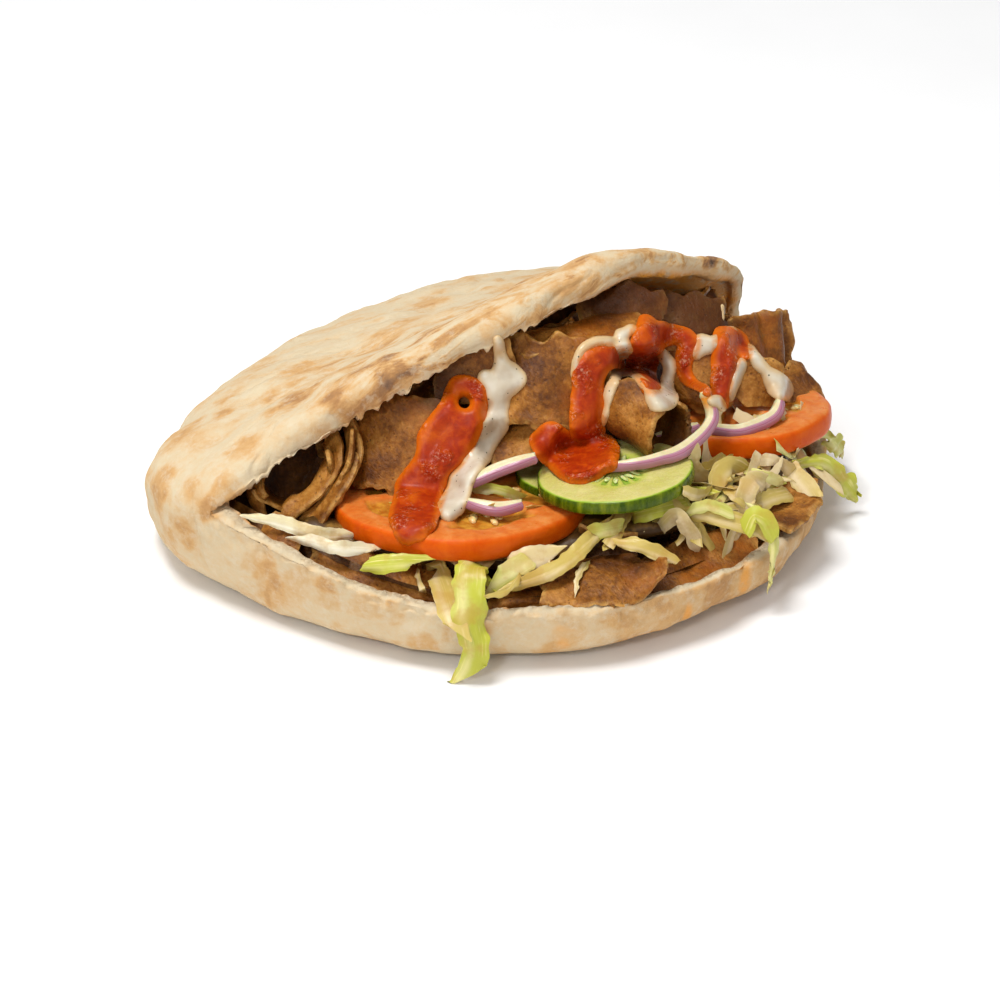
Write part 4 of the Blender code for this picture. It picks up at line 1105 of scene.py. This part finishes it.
def add_seeds(name, slot, places, height, half, rng, material):
    """Seeds on a disc, each at an (angle, share of the radius)."""
    disc_place = place_of(DISCS[name])
    seeds = []
    for angle, share in places:
        reach = share * DISCS[name]["radius"]
        middle = np.array([[reach * math.cos(angle), reach * math.sin(angle), height]])
        seeds.append(seed_shape(moved(middle, disc_place)[0], half, angle, rng))
    points, faces, _ = joined(seeds)
    add_mesh(name + "_seeds", points, faces, material, slot)


def make_tomatoes(material, seed_material):
    for number, name in enumerate(("tomato_left", "tomato_right")):
        radius = DISCS[name]["radius"]
        grid, across, side, angle = disc_grid(name, 46, 150)
        chambers = 5 + number
        phase = 0.4 + 1.1 * number
        turn = (angle * chambers / (2 * math.pi) + phase) % 1
        wall = np.minimum(turn, 1 - turn)[None, :] * 2 * math.pi / chambers * across * radius
        wobble = 1.0 * noise(grid, 6, 61 + number)
        gel = smooth(wall + wobble, 2.0, 3.4) * smooth(across * radius + wobble, radius * 0.22, radius * 0.30)
        gel *= 1 - smooth(across * radius + 0.7 * wobble, radius - 9.5, radius - 7.8)
        skin = smooth(across, 0.972, 0.99)
        uneven = 0.12 * noise(grid, 3, 63) + 0.25 * noise(grid, 14, 64)
        grid[..., 2] += side * (uneven - 1.5 * gel) * (1 - skin)
        lobes = 1 + 0.018 * np.cos(angle * chambers + 1.0) + 0.01 * np.cos(angle * 2 + number)
        grid[..., :2] *= np.minimum(lobes, 1.02)[None, :, None]
        rng = np.random.default_rng(70 + number)
        seeds = (
            (((rng.integers(chambers) + 0.5 + rng.uniform(-0.22, 0.22) - phase) % chambers) / chambers * 2 * math.pi,
             rng.uniform(0.36, 0.68)) for _ in range(34)
        )
        add_disc(name, "tomato", grid, {"skin": skin, "gel": gel}, material)
        add_seeds(name, "tomato", seeds, -1.1, (1.7, 1.2, 0.6), rng, seed_material)


def make_cucumbers(material, seed_material):
    for number, name in enumerate(("cucumber_front", "cucumber_back")):
        grid, across, side, angle = disc_grid(name, 46, 160)
        petal = np.abs(np.sin(angle * 1.5 + 0.5 + number))[None, :]
        edge = 0.40 + 0.12 * petal
        core = 1 - smooth(across + 0.02 * noise(grid, 3, 81), edge, edge + 0.09)
        cell_turn = np.abs(np.sin(angle * 9 + 0.3))[None, :]
        cell = smooth(cell_turn, 0.45, 0.8) * smooth(across, 0.14, 0.2)
        cell *= 1 - smooth(across, edge - 0.07, edge - 0.01)
        skin = smooth(across, 0.955, 0.997)
        grid[..., 2] += side * (0.10 * noise(grid, 2.5, 83) - 0.35 * cell - 0.15 * core) * (1 - skin)
        ribs = 1 + 0.006 * np.cos(angle * 9) + 0.008 * np.cos(angle * 2 + 1)
        grid[..., :2] *= ribs[None, :, None]
        rng = np.random.default_rng(90 + number)
        seeds = (((k + 0.5) * math.pi / 9 + rng.uniform(-0.05, 0.05), rng.uniform(0.27, 0.37)) for k in range(18))
        add_disc(name, "cucumber", grid, {"skin": skin, "core": core, "seeds": cell}, material)
        add_seeds(name, "cucumber", seeds, -0.05, (2.4, 0.85, 0.4), rng, seed_material)


# ------------------------------------------------------------------------------------ onion and lettuce
def ribbon(path, width, facing, columns, rows):
    """A ribbon along a path, flat towards the facing direction and narrower at its two ends."""
    line = smooth_curve(path, columns)
    along = np.gradient(line, axis=0)
    side = unit(np.cross(along, np.array(facing, float)))
    share = np.linspace(0, 1, columns + 1)
    half = width / 2 * (0.45 + 0.55 * np.sin(math.pi * np.clip(share, 0.08, 0.92)) ** 0.6)
    across = np.linspace(-1, 1, rows)
    return line[None] + across[:, None, None] * (side * half[:, None])[None], share, across


def make_onions(material):
    for number, (name, path) in enumerate(ONIONS.items()):
        columns, rows = 90, 13
        grid, share, across = ribbon(path, ONION_HEIGHT, (0, -0.5, 0.87), columns, rows)
        normal = normals_of(grid)
        grid = grid + normal * (0.5 * (1 - across[:, None] ** 2) + 0.12 * noise(grid, 5, 100 + number))[..., None]
        grid = grid + unit(np.gradient(grid, axis=0)) * (0.25 * noise(grid, 7, 110 + number))[..., None]
        ends = np.minimum(share, 1 - share)[None, :] * 60
        depth = ONION_THICKNESS * (0.55 + 0.45 * np.sqrt(np.clip(1 - across[:, None] ** 4, 0, 1)))
        depth = depth * (0.4 + 0.6 * smooth(ends, 0, 2.5))
        points, faces = thick_sheet(grid, depth)
        outer = np.concatenate([across[:, None] * np.ones(columns + 1)] * 2).ravel()
        values = {"outer": 0.5 + 0.5 * outer, "lane": outer * ONION_HEIGHT / 2}
        if name == "onion_long":
            values["stain"] = 1 - smooth(np.linalg.norm(points - np.array(path[-1]), axis=1), 3, 7)
        add_mesh(name + "_strip", points, faces, material, "onion", [name], values)


def leaf_strand(path, width, facing, seed, thickness=0.5, ruffle=1.0, step=0.8, curl=0.0, blunt=(0.5, 0.5), twist=0,
                frill=0.06, taper=0.3):
    """A strip of shredded lettuce: thin, ruffled and twisted, with uneven cut edges and a pale rib."""
    length = np.sum(np.linalg.norm(np.diff(np.array(path, float), axis=0), axis=1))
    columns = max(10, int(length / step))
    rows = max(5, int(width / step) + 3)
    line = smooth_curve(path, columns)
    share = np.linspace(0, 1, columns + 1)
    along = unit(np.gradient(line, axis=0))
    facing = np.array(facing, float) + 0.2 * np.stack([noise(line, 11, seed + k) for k in (6, 7, 8)], axis=1)
    side = unit(np.cross(along, facing))
    turn = np.radians(twist * (share - 0.5))[:, None]
    side = np.cos(turn) * side + np.sin(turn) * np.cross(along, side)
    ends = np.ones(columns + 1)
    for cut, away in zip(blunt, (share, 1 - share)):
        ends = ends * (cut + (1 - cut) * np.clip(away / taper, 0, 1))
    half = width / 2 * ends * (1 + frill * noise(line, 4, seed))
    across = np.linspace(-1, 1, rows)
    wide = across[:, None]
    slant = noise(np.array([[seed, 0.3, 0.0], [0.3, seed, 0.0]]), 1.7)
    skew = slant[0] * (1 - smooth(share, 0, 0.3)) + slant[1] * smooth(share, 0.7, 1)
    grid = line[None] + wide[..., None] * (side * half[:, None])[None]
    grid = grid + along * (wide * skew * width * 0.8 + 0.25 * noise(grid, 1.5, seed + 9))[..., None]
    grid = grid + side * (np.abs(wide) ** 4 * wide * 0.3 * noise(grid, 2.0, seed + 1))[..., None]
    normal = normals_of(grid)
    wave = 0.25 * noise(line, 9, seed + 2) + ruffle * np.abs(wide) ** 1.5 * noise(grid, 4.5, seed + 3)
    wave = wave + curl * wide**2 * width / 4
    grid = grid + normal * wave[..., None]
    rib = np.exp(-((wide - 0.4) ** 2) / 0.12) * np.ones(grid.shape[:2])
    inside = edge_distance(rows, columns + 1, step)
    depth = thickness * (0.75 + 0.5 * rib) * (0.45 + 0.55 * smooth(inside + 0.2, 0, 1.2))
    points, faces = thick_sheet(grid, depth)
    edge = np.tile(1 - smooth(inside, 0, 1.4), (2, 1, 1))
    lane = np.tile(wide * width / 2 + 0 * inside, (2, 1, 1)) + 7.3 * (seed % 97)
    tint = 0.5 + 0.5 * math.sin(seed * 12.9898) + 0 * lane
    return points, faces, {"rib": np.tile(rib, (2, 1, 1)), "edge": edge, "lane": lane, "tint": tint}


SLIM = {"lettuce_leaf", "lettuce_long"}
GREENER = {"lettuce_drop", "lettuce_green_left", "lettuce_right", "lettuce_far_right", "lettuce_hanging"}
FRILLY = {"lettuce_drop": 0.14, "lettuce_right": 0.4, "lettuce_far_right": 0.4, "lettuce_hanging": 0.3}
BLUNT = {"lettuce_drop": (0.9, 0.9), "lettuce_pale_left": (0.1, 0.6), "lettuce_green_left": (0.5, 0.15)}
LEAVES = [  # (X, distance up the slope, height above what lies there), width, blunt ends, kind, curl, twist
    ([(66.9, -4.9, 1), (67.5, 0.6, 2), (70.7, 3.0, 3), (74.2, 1.8, 2)], 6.6, (0.9, 0.9), "pale", 1, 20),
    ([(73.9, -10.8, 1), (74.4, -4.4, 3), (77.1, -0.6, 3.5), (80.9, -1.7, 2)], 6.0, (0.8, 0.9), "pale", 1, -30),
    ([(77.7, -7.6, 2), (83.2, -5.5, 2), (88.7, -4.4, 2)], 5.2, (0.9, 1.0), "pale", 0, 10),
    ([(74.4, 2.1, 2), (80.9, 0.6, 3), (86.7, -1.7, 2)], 3.4, (0.6, 0.3), "green", 0, 40),
    ([(73.3, -15.7, 1), (75.6, -10.8, 3), (79.4, -12.5, 3), (82.0, -17.8, 1)], 5.0, (0.4, 0.3), "green", 1, 50),
    ([(49.7, -14.6, 1), (54.0, -10.8, 3), (57.2, -14.6, 2), (61.0, -21.0, 1)], 4.2, (0.6, 0.1), "pale", 1, 30),
    ([(41.5, -10.8, 1), (47.9, -9.3, 1), (57.2, -7.0, 1)], 5.0, (0.6, 0.5), "green", 0, 20),
    ([(58.7, 7.6, 1), (59.9, 2.6, 2), (64.2, -1.2, 1)], 4.6, (0.5, 0.5), "pale", 0, 20),
    ([(62.5, 2.1, 1), (68.6, 4.4, 2), (71.8, 5.8, 1)], 3.6, (0.5, 0.6), "pale", 0, -20),
    ([(88.4, 4.4, 1), (92.2, -0.6, 1), (95.4, -5.5, 1)], 6.0, (0.3, 0.4), "pale", 0, 15),
    ([(-14.5, -25.1, 1), (-11.0, -34.4, 1.5), (-8.1, -43.1, 1)], 7.0, (0.7, 0.5), "pale", 0, 10),
    ([(0.7, -29.7, 1), (8.3, -25.1, 1), (11.8, -22.7, 1)], 6.0, (0.5, 0.6), "green", 0, 10),
    ([(-0.5, -33.2, 2), (5.9, -31.5, 3), (9.4, -27.4, 2)], 1.7, (0.6, 0.6), "pale", 0, 10),
    ([(28.1, -23.9, 1), (25.2, -28.6, 2), (25.2, -32.1, 1)], 1.9, (0.6, 0.6), "pale", 0, 10),
    ([(29.8, -15.7, 1), (38.6, -14.0, 1)], 5.0, (0.6, 0.5), "green", 0, 10),
    ([(-20.0, -26.0, 1), (-18.5, -31.0, 2), (-17.9, -32.6, 1)], 1.6, (0.6, 0.6), "pale", 0, 10),
    ([(-5.2, -3.8, 1), (1.9, -3.2, 1), (9.7, -5.8, 1)], 3.2, (0.6, 0.6), "green", 0, 10),
    ([(55.5, -3.5, 1), (60.4, -4.9, 2), (66.0, -3.0, 1)], 3.2, (0.5, 0.5), "pale", 0, 30),
    ([(57.0, -9.5, 1), (63.0, -8.0, 2), (70.0, -10.5, 1)], 3.6, (0.5, 0.4), "green", 0, 30),
    ([(64.0, -14.0, 1), (68.0, -9.0, 3), (72.5, -8.0, 1)], 3.0, (0.4, 0.5), "pale", 0, -30),
    ([(80.0, 5.5, 1), (85.0, 5.0, 1), (91.0, 1.0, 1)], 3.4, (0.5, 0.4), "pale", 0, 20),
    ([(68.5, -2.0, 1), (73.0, -6.5, 3), (79.5, -9.5, 2)], 3.0, (0.5, 0.5), "pale", 0, 20),
]


DROP_HEIGHT = 200  # out from the plane of the slope, from where things are let down on to what lies there


def lift_at(tree, start):
    """How far out from the plane of the slope the ground is there, or nan where there is none."""
    hit = tree.ray_cast(Vector(start + OUTWARD * DROP_HEIGHT), Vector(-OUTWARD))
    return DROP_HEIGHT - hit[3] if hit[0] else np.nan


def make_leaves(tree, pale, green):
    """The larger pieces of shredded lettuce that lie loose on the bed and on the rim."""
    heaps = {"pale": [], "green": []}
    for number, (path, width, blunt, kind, curl, twist) in enumerate(LEAVES):
        line = smooth_curve(path, 12)
        base = line[:, :1] * [1.0, 0, 0] + line[:, 1:2] * UP_SLOPE
        lifts = np.array([lift_at(tree, start) for start in base])
        lifts = np.where(np.isnan(lifts), np.nanmin(lifts), lifts)
        share = np.linspace(0, 1, len(lifts))
        chord = lifts[0] + (lifts[-1] - lifts[0]) * share
        arch = 4 * share * (1 - share)
        rise = np.max((lifts - chord)[2:-2] / arch[2:-2])
        lifts = chord + arch * min(max(rise, 0), 5) + line[:, 2]
        blunt = [0.55 + 0.45 * end for end in blunt]
        sheet = leaf_strand(base + lifts[:, None] * OUTWARD, width, OUTWARD, 600 + 7 * number, 0.3, 0.15, 0.5,
                            0.1 * curl, blunt, 0.6 * twist, taper=0.15)
        heaps[kind].append(sheet)
    for kind, material in (("pale", pale), ("green", green)):
        points, faces, values = joined(heaps[kind])
        add_mesh("lettuce_leaves_" + kind, points, faces, material, "lettuce", (), values, SHARP_LETTUCE)


def make_strands(pale, green, cream):
    """The strands of lettuce that have a place of their own."""
    for number, (name, strand) in enumerate(STRANDS.items()):
        width = strand["width"] * (0.72 if name in SLIM else 0.9)
        frilly = FRILLY.get(name, 0.06)
        sheet = leaf_strand(strand["path"], width, (0, -0.86, 0.51), 120 + 5 * number, step=0.5,
                            ruffle=0.3 + 4 * frilly, curl=0.3, blunt=BLUNT.get(name, (0.4, 0.4)), frill=frilly)
        points, faces, values = sheet
        points[:, 2] = np.maximum(points[:, 2], 0.3)
        material = green if name in GREENER else cream if "pale" in name else pale
        add_mesh(name + "_strip", points, faces, material, "lettuce", [name], values, SHARP_LETTUCE)


def make_bed(pale, green, core_material):
    """Shredded lettuce piled under the vegetables, over a smaller core that shows only as shade."""
    steps = 60
    line = smooth_curve(BED_PATH, steps)
    side = unit(np.cross(np.gradient(line, axis=0), (0, 0, 1.0)))
    share = np.linspace(0, 1, steps + 1)
    taper = np.sqrt(np.clip(1 - (2 * share - 1) ** 6, 0.05, 1))
    turns = np.linspace(0, 2 * math.pi, 24, endpoint=False)
    ring = np.cos(turns)[None, :, None] * side[:, None, :] * BED_HALF_WIDTH
    ring = ring + np.sin(turns)[None, :, None] * np.array([0, 0, BED_HALF_HEIGHT])
    ring = ring * taper[:, None, None]
    core = line[:, None, :] + 0.6 * ring
    core = core + 1.2 * (noise(core, 7, 150))[..., None] * unit(ring)
    add_mesh("lettuce_bed_core", core.reshape(-1, 3), quads(*core.shape[:2], closed=True), core_material, "lettuce",
             attributes={"lane": core[..., 2]})
    rng = np.random.default_rng(160)
    heaps = {"pale": [], "green": []}
    for number in range(BED_SHREDS):
        i = rng.integers(1, steps) if number % 3 else rng.integers(steps // 2, steps)
        turn = rng.uniform(-0.35, math.pi + 0.35) if number % 4 else rng.uniform(0, 2 * math.pi)
        out = math.cos(turn) * side[i] * BED_HALF_WIDTH + math.sin(turn) * np.array([0, 0, BED_HALF_HEIGHT])
        at = line[i] + out * taper[i] * rng.uniform(0.78, 1.04)
        upward = np.array([0, 0, 1 / BED_HALF_HEIGHT])
        normal = unit(math.cos(turn) * side[i] / BED_HALF_WIDTH + math.sin(turn) * upward)
        along = unit(np.gradient(line, axis=0)[i])
        heading = rng.uniform(-1.1, 1.1) if rng.random() < 0.7 else rng.uniform(-math.pi, math.pi)
        forward = math.cos(heading) * along + math.sin(heading) * np.cross(normal, along)
        length = rng.uniform(22, 42)
        reach = np.linspace(-0.5, 0.5, 5)
        sag = rng.uniform(0, 5)
        bow = np.cross(normal, forward) * rng.uniform(-4, 4)
        path = [at + forward * r * length - normal * sag * (2 * r) ** 2 * 0.6 + bow * (2 * r) ** 2 for r in reach]
        width = rng.choice([1.8, 2.6, 3.4, 4.4, 5.8], p=[0.15, 0.25, 0.27, 0.2, 0.13])
        facing = unit(normal + rng.uniform(-0.4, 0.4, 3))
        if at[0] < -30 or at[0] < -14 and at[1] < line[i][1] - 1 or at[0] < 58 and at[1] < line[i][1] - 7:
            continue
        kind = "green" if rng.random() < 0.25 else "pale"
        blunt = (rng.uniform(0.6, 1.0), rng.uniform(0.6, 1.0))
        heaps[kind].append(leaf_strand(path, width, facing, 200 + 5 * number, 0.3, 0.2, 1.0, rng.uniform(-0.3, 0.3),
                                       blunt, rng.uniform(-40, 40), taper=0.12))
    for kind, material in (("pale", pale), ("green", green)):
        points, faces, values = joined(heaps[kind])
        nodes = ["lettuce_bed"] if kind == "pale" else []
        add_mesh("lettuce_bed_" + kind, points, faces, material, "lettuce", nodes, values, SHARP_LETTUCE)


# ---------------------------------------------------------------------------------------------- the sauces
def tree_so_far():
    """Every piece that has been made, in the drawing frame, for measuring down to."""
    points, faces, start = [], [], 0
    for obj in bpy.data.objects:
        if obj.type != "MESH" or "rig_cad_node" in obj or obj.name == "floor":
            continue
        mesh = obj.data
        some = np.zeros(len(mesh.vertices) * 3, np.float32)
        mesh.vertices.foreach_get("co", some)
        points.append(some.reshape(-1, 3) / MM - SHIFT)
        faces += [[start + v for v in f.vertices] for f in mesh.polygons]
        start += len(mesh.vertices)
    return BVHTree.FromPolygons(np.concatenate(points).tolist(), faces)


def neighbours(grid):
    """The grid and its four shifts by one place."""
    padded = np.pad(grid, 1, mode="edge")
    return np.array([grid, padded[:-2, 1:-1], padded[2:, 1:-1], padded[1:-1, :-2], padded[1:-1, 2:]])


def evened(heights, near, times):
    """The heights, each made the mean of its neighbours that are near the sauce, over and over."""
    weight = neighbours(near.astype(float))
    for _ in range(times):
        total = (neighbours(heights) * weight).sum(axis=0)
        heights = np.where(near, total / np.maximum(weight.sum(axis=0), 1), heights)
    return heights


SAUCE_STEP = 0.4  # of the grid that it is made on
SAUCE_SPREAD = 0.35  # beyond its strokes
SAUCE_SAG = 1.6  # how far it sinks into what is under it
CHILLI_DEPTH, CHILLI_FADE = 1.6, 3.0  # its height, and how far from its edge it has its full colour
YOGHURT_DEPTH, YOGHURT_FADE, YOGHURT_WIDTH = 1.5, 2.6, 0.94


def sauce_faces(near, kept):
    """Quads over a pool's points and again below them, with a side all round."""
    count = int(near.sum())
    number = np.full(near.shape, -1)
    number[near] = np.arange(count)
    cells = near[:-1, :-1] & near[1:, :-1] & near[:-1, 1:] & near[1:, 1:]
    cells &= kept[:-1, :-1] | kept[1:, :-1] | kept[:-1, 1:] | kept[1:, 1:]
    corners = [number[:-1, :-1], number[:-1, 1:], number[1:, 1:], number[1:, :-1]]
    face = np.stack([c[cells] for c in corners], axis=-1)
    used = dict.fromkeys(map(tuple, np.concatenate([face[:, [k, (k + 1) % 4]] for k in range(4)]).tolist()))
    side = np.array([[b, a, a + count, b + count] for a, b in used if (b, a) not in used])
    return np.concatenate([face, face[:, ::-1] + count, side])


def pour(name, strokes, tree, material, slot, depth, seed, fade):
    """A pool of sauce drawn as strokes on the sloping plane and pressed on to what lies there."""
    dabs = np.concatenate([smooth_curve(stroke, 8 * (len(stroke) - 1)) for stroke in strokes])
    low = dabs[:, :2].min(axis=0) - dabs[:, 2].max()
    high = dabs[:, :2].max(axis=0) + dabs[:, 2].max()
    xs = np.arange(low[0], high[0], SAUCE_STEP)
    rises = np.arange(low[1], high[1], SAUCE_STEP)
    plan = np.stack(np.meshgrid(xs, rises), axis=-1)
    flat3 = np.concatenate([plan, np.zeros(plan.shape[:2] + (1,))], axis=-1)
    inside = np.full(plan.shape[:2], -1e9)
    for x, rise, width in dabs:
        inside = np.maximum(inside, width / 2 + SAUCE_SPREAD - np.hypot(plan[..., 0] - x, plan[..., 1] - rise))
    for x, rise, radius in SAUCE_HOLES.get(name, []):
        inside = np.minimum(inside, np.hypot(plan[..., 0] - x, plan[..., 1] - rise) - radius)
    inside = inside + 0.7 * noise(flat3, 6.5, seed) + 0.2 * noise(flat3, 2.2, seed + 1)
    for _ in range(4):
        inside = neighbours(inside).mean(axis=0)
    kept = inside > 0
    near = neighbours(kept.astype(float)).max(axis=0) > 0
    slopes = np.stack(np.gradient(inside, SAUCE_STEP), axis=-1)[..., ::-1]
    steep = np.maximum(np.sum(slopes**2, axis=-1), 0.15)
    edge = near & ~kept
    plan = np.where(edge[..., None], plan - slopes * (inside / steep)[..., None], plan)
    lifts = np.full(kept.shape, np.nan)
    base = plan[..., :1] * np.array([1.0, 0, 0]) + plan[..., 1:] * UP_SLOPE
    for place in np.argwhere(near):
        lifts[tuple(place)] = lift_at(tree, base[tuple(place)])
    bottom = np.nanpercentile(lifts, 4)
    ground = np.where(np.isnan(lifts), bottom, np.maximum(lifts, bottom))
    top = ground.copy()
    for _ in range(7):
        top = np.where(near, neighbours(np.where(near, top, -1e9)).max(axis=0), top)
    top = evened(top, near, 24)
    ground = np.maximum(ground, top - SAUCE_SAG)
    top = ground + (np.maximum(top, ground) - ground) * smooth(inside, 0.0, 2.4)
    top = evened(top, near, 4)
    share = np.clip(inside / 3.6, 0, 1)
    round_back = np.sqrt(np.clip(1 - (1 - share) ** 2, 0, 1))
    lumps = 0.25 * noise(flat3, 5, seed + 2, 2) * round_back
    over = base + (top + 0.06 + depth * round_back + lumps)[..., None] * OUTWARD
    under = base + (ground - 0.5 - 0.6 * round_back)[..., None] * OUTWARD
    points = np.concatenate([over[near], under[near]])
    thick = np.clip(inside / fade, 0, 1) * (0.85 + 0.35 * noise(flat3, 5, seed + 3))
    away = np.full(kept.shape, 1e9)
    for stroke in [s for strokes in CHILLI.values() for s in strokes]:
        for x, rise, width in smooth_curve(stroke, 6 * len(stroke)):
            away = np.minimum(away, np.hypot(plan[..., 0] - x, plan[..., 1] - rise) - width / 2)
    values = {"thick": thick, "bleed": 0.8 * (1 - smooth(away, -0.3, 1.2))}
    values = {key: np.tile(some[near], 2) for key, some in values.items()}
    add_mesh(name + "_sauce", points, sauce_faces(near, kept), material, slot, [name], values)


def make_sauces(tree, chilli, yoghurt):
    for number, (name, strokes) in enumerate(CHILLI.items()):
        pour(name, strokes, tree, chilli, "chilli", CHILLI_DEPTH, 300 + 10 * number, CHILLI_FADE)
    for number, (name, strokes) in enumerate(WHITE.items()):
        narrow = [[(x, rise, YOGHURT_WIDTH * width) for x, rise, width in stroke] for stroke in strokes]
        pour(name, narrow, tree, yoghurt, "yoghurt", YOGHURT_DEPTH, 400 + 10 * number, YOGHURT_FADE)


# -------------------------------------------------------------------------------- floor, light and camera
CAMERA_LENS, CAMERA_ELEVATION, CAMERA_TARGET = 118.8, 31, (3.6, -20, 4.5)
WORLD_LEFT, WORLD_RIGHT = 0.62, 0.26  # the light from all round, stronger from the left
FLOOR_SIZE = 3000
AIM = (0, 0, 0.02)
LIGHTS = [  # name, place, size and power
    ("key", (-0.28, -0.16, 1.3), 0.5, 13.5),
    ("front", (-0.3, -0.95, 0.75), 0.18, 2.7),
    ("fill", (0.9, -0.7, 0.6), 0.9, 1.0),
]


def make_stage():
    look = Look("pale_floor", 0.6)
    look.bump(look.grain(0.8, 3, 0.5), 0.05, 0.1)
    material = look.finish(look.ramp(look.grain(60, 2), (0.3, (0.94, 0.94, 0.94)), (0.7, (0.96, 0.96, 0.96))))
    corners = FLOOR_SIZE * np.array([(-1.0, -1, 0), (1, -1, 0), (1, 1, 0), (-1, 1, 0)])
    floor = add_mesh("floor", corners - [0, 0, SHIFT[2]], [[0, 1, 2, 3]], material)


def add_light(name, at, size, power):
    data = bpy.data.lights.new(name, "AREA")
    data.shape = "DISK"
    data.size = size
    data.energy = power
    light = bpy.data.objects.new(name, data)
    bpy.context.scene.collection.objects.link(light)
    light.location = at
    light.rotation_euler = (Vector(AIM) - Vector(at)).to_track_quat("-Z", "Y").to_euler()


def make_light():
    world = bpy.data.worlds.new("studio")
    bpy.context.scene.world = world
    world.use_nodes = True
    nodes, links = world.node_tree.nodes, world.node_tree.links
    direction = nodes.new("ShaderNodeTexCoord").outputs["Generated"]
    across = nodes.new("ShaderNodeSeparateXYZ")
    links.new(direction, across.inputs[0])
    strength = nodes.new("ShaderNodeMapRange")
    links.new(across.outputs["X"], strength.inputs["Value"])
    for name, value in zip(("From Min", "From Max", "To Min", "To Max"), (-1, 1, WORLD_LEFT, WORLD_RIGHT)):
        strength.inputs[name].default_value = value
    links.new(strength.outputs["Result"], nodes["Background"].inputs["Strength"])
    nodes["Background"].inputs["Color"].default_value = (1, 1, 1, 1)
    for light in LIGHTS:
        add_light(*light)
    bpy.context.scene.view_settings.view_transform = "Standard"
    bpy.context.scene.view_settings.look = "None"


def make_camera():
    data = bpy.data.cameras.new("camera")
    data.sensor_width = 36
    data.lens = CAMERA_LENS
    data.clip_end = 10
    camera = bpy.data.objects.new("camera", data)
    bpy.context.scene.collection.objects.link(camera)
    target = (np.array(CAMERA_TARGET) + SHIFT) * MM
    elevation = math.radians(CAMERA_ELEVATION)
    camera.location = target + np.array([0, -math.cos(elevation), math.sin(elevation)])  # 1 m away
    camera.rotation_euler = (math.pi / 2 - elevation, 0, 0)
    bpy.context.scene.camera = camera


make_stage()
make_light()
make_camera()
MEAT = meat_look("doner_meat")
# A darkened copy of the meat for the heap core: painted shade deep in the pocket.
SHADED_MEAT = meat_look("doner_meat_in_shade", 0.45)
PALE = lettuce_look("pale_lettuce", (0.74, 0.58, 0.33), (0.57, 0.42, 0.10))
GREEN = lettuce_look("green_lettuce", (0.75, 0.68, 0.28), (0.50, 0.50, 0.05))
# Near-black lettuce for the bed's core: painted shade between the shreds.
SHADE_LETTUCE = lettuce_look("lettuce_in_shade", (0.08, 0.036, 0.008), (0.06, 0.03, 0.006))
SEEDS = seed_look("tomato_seed", (0.85, 0.66, 0.30), (0.62, 0.36, 0.10))
CUCUMBER_SEEDS = seed_look("cucumber_seed", (0.70, 0.72, 0.34), (0.42, 0.52, 0.12))
CREAM = lettuce_look("cream_lettuce", (0.80, 0.73, 0.55), (0.72, 0.62, 0.36))
make_bread(bread_look())
PITTA = tree_so_far()
make_heap_core(SHADED_MEAT, PITTA)
make_heap_slices(MEAT, PITTA)
make_bed(PALE, GREEN, SHADE_LETTUCE)
make_slices(MEAT, PITTA)
make_tomatoes(tomato_look(), SEEDS)
make_cucumbers(cucumber_look(), CUCUMBER_SEEDS)
make_onions(onion_look())
make_strands(PALE, GREEN, CREAM)
make_leaves(tree_so_far(), PALE, GREEN)
make_sauces(tree_so_far(), chilli_look(), yoghurt_look())
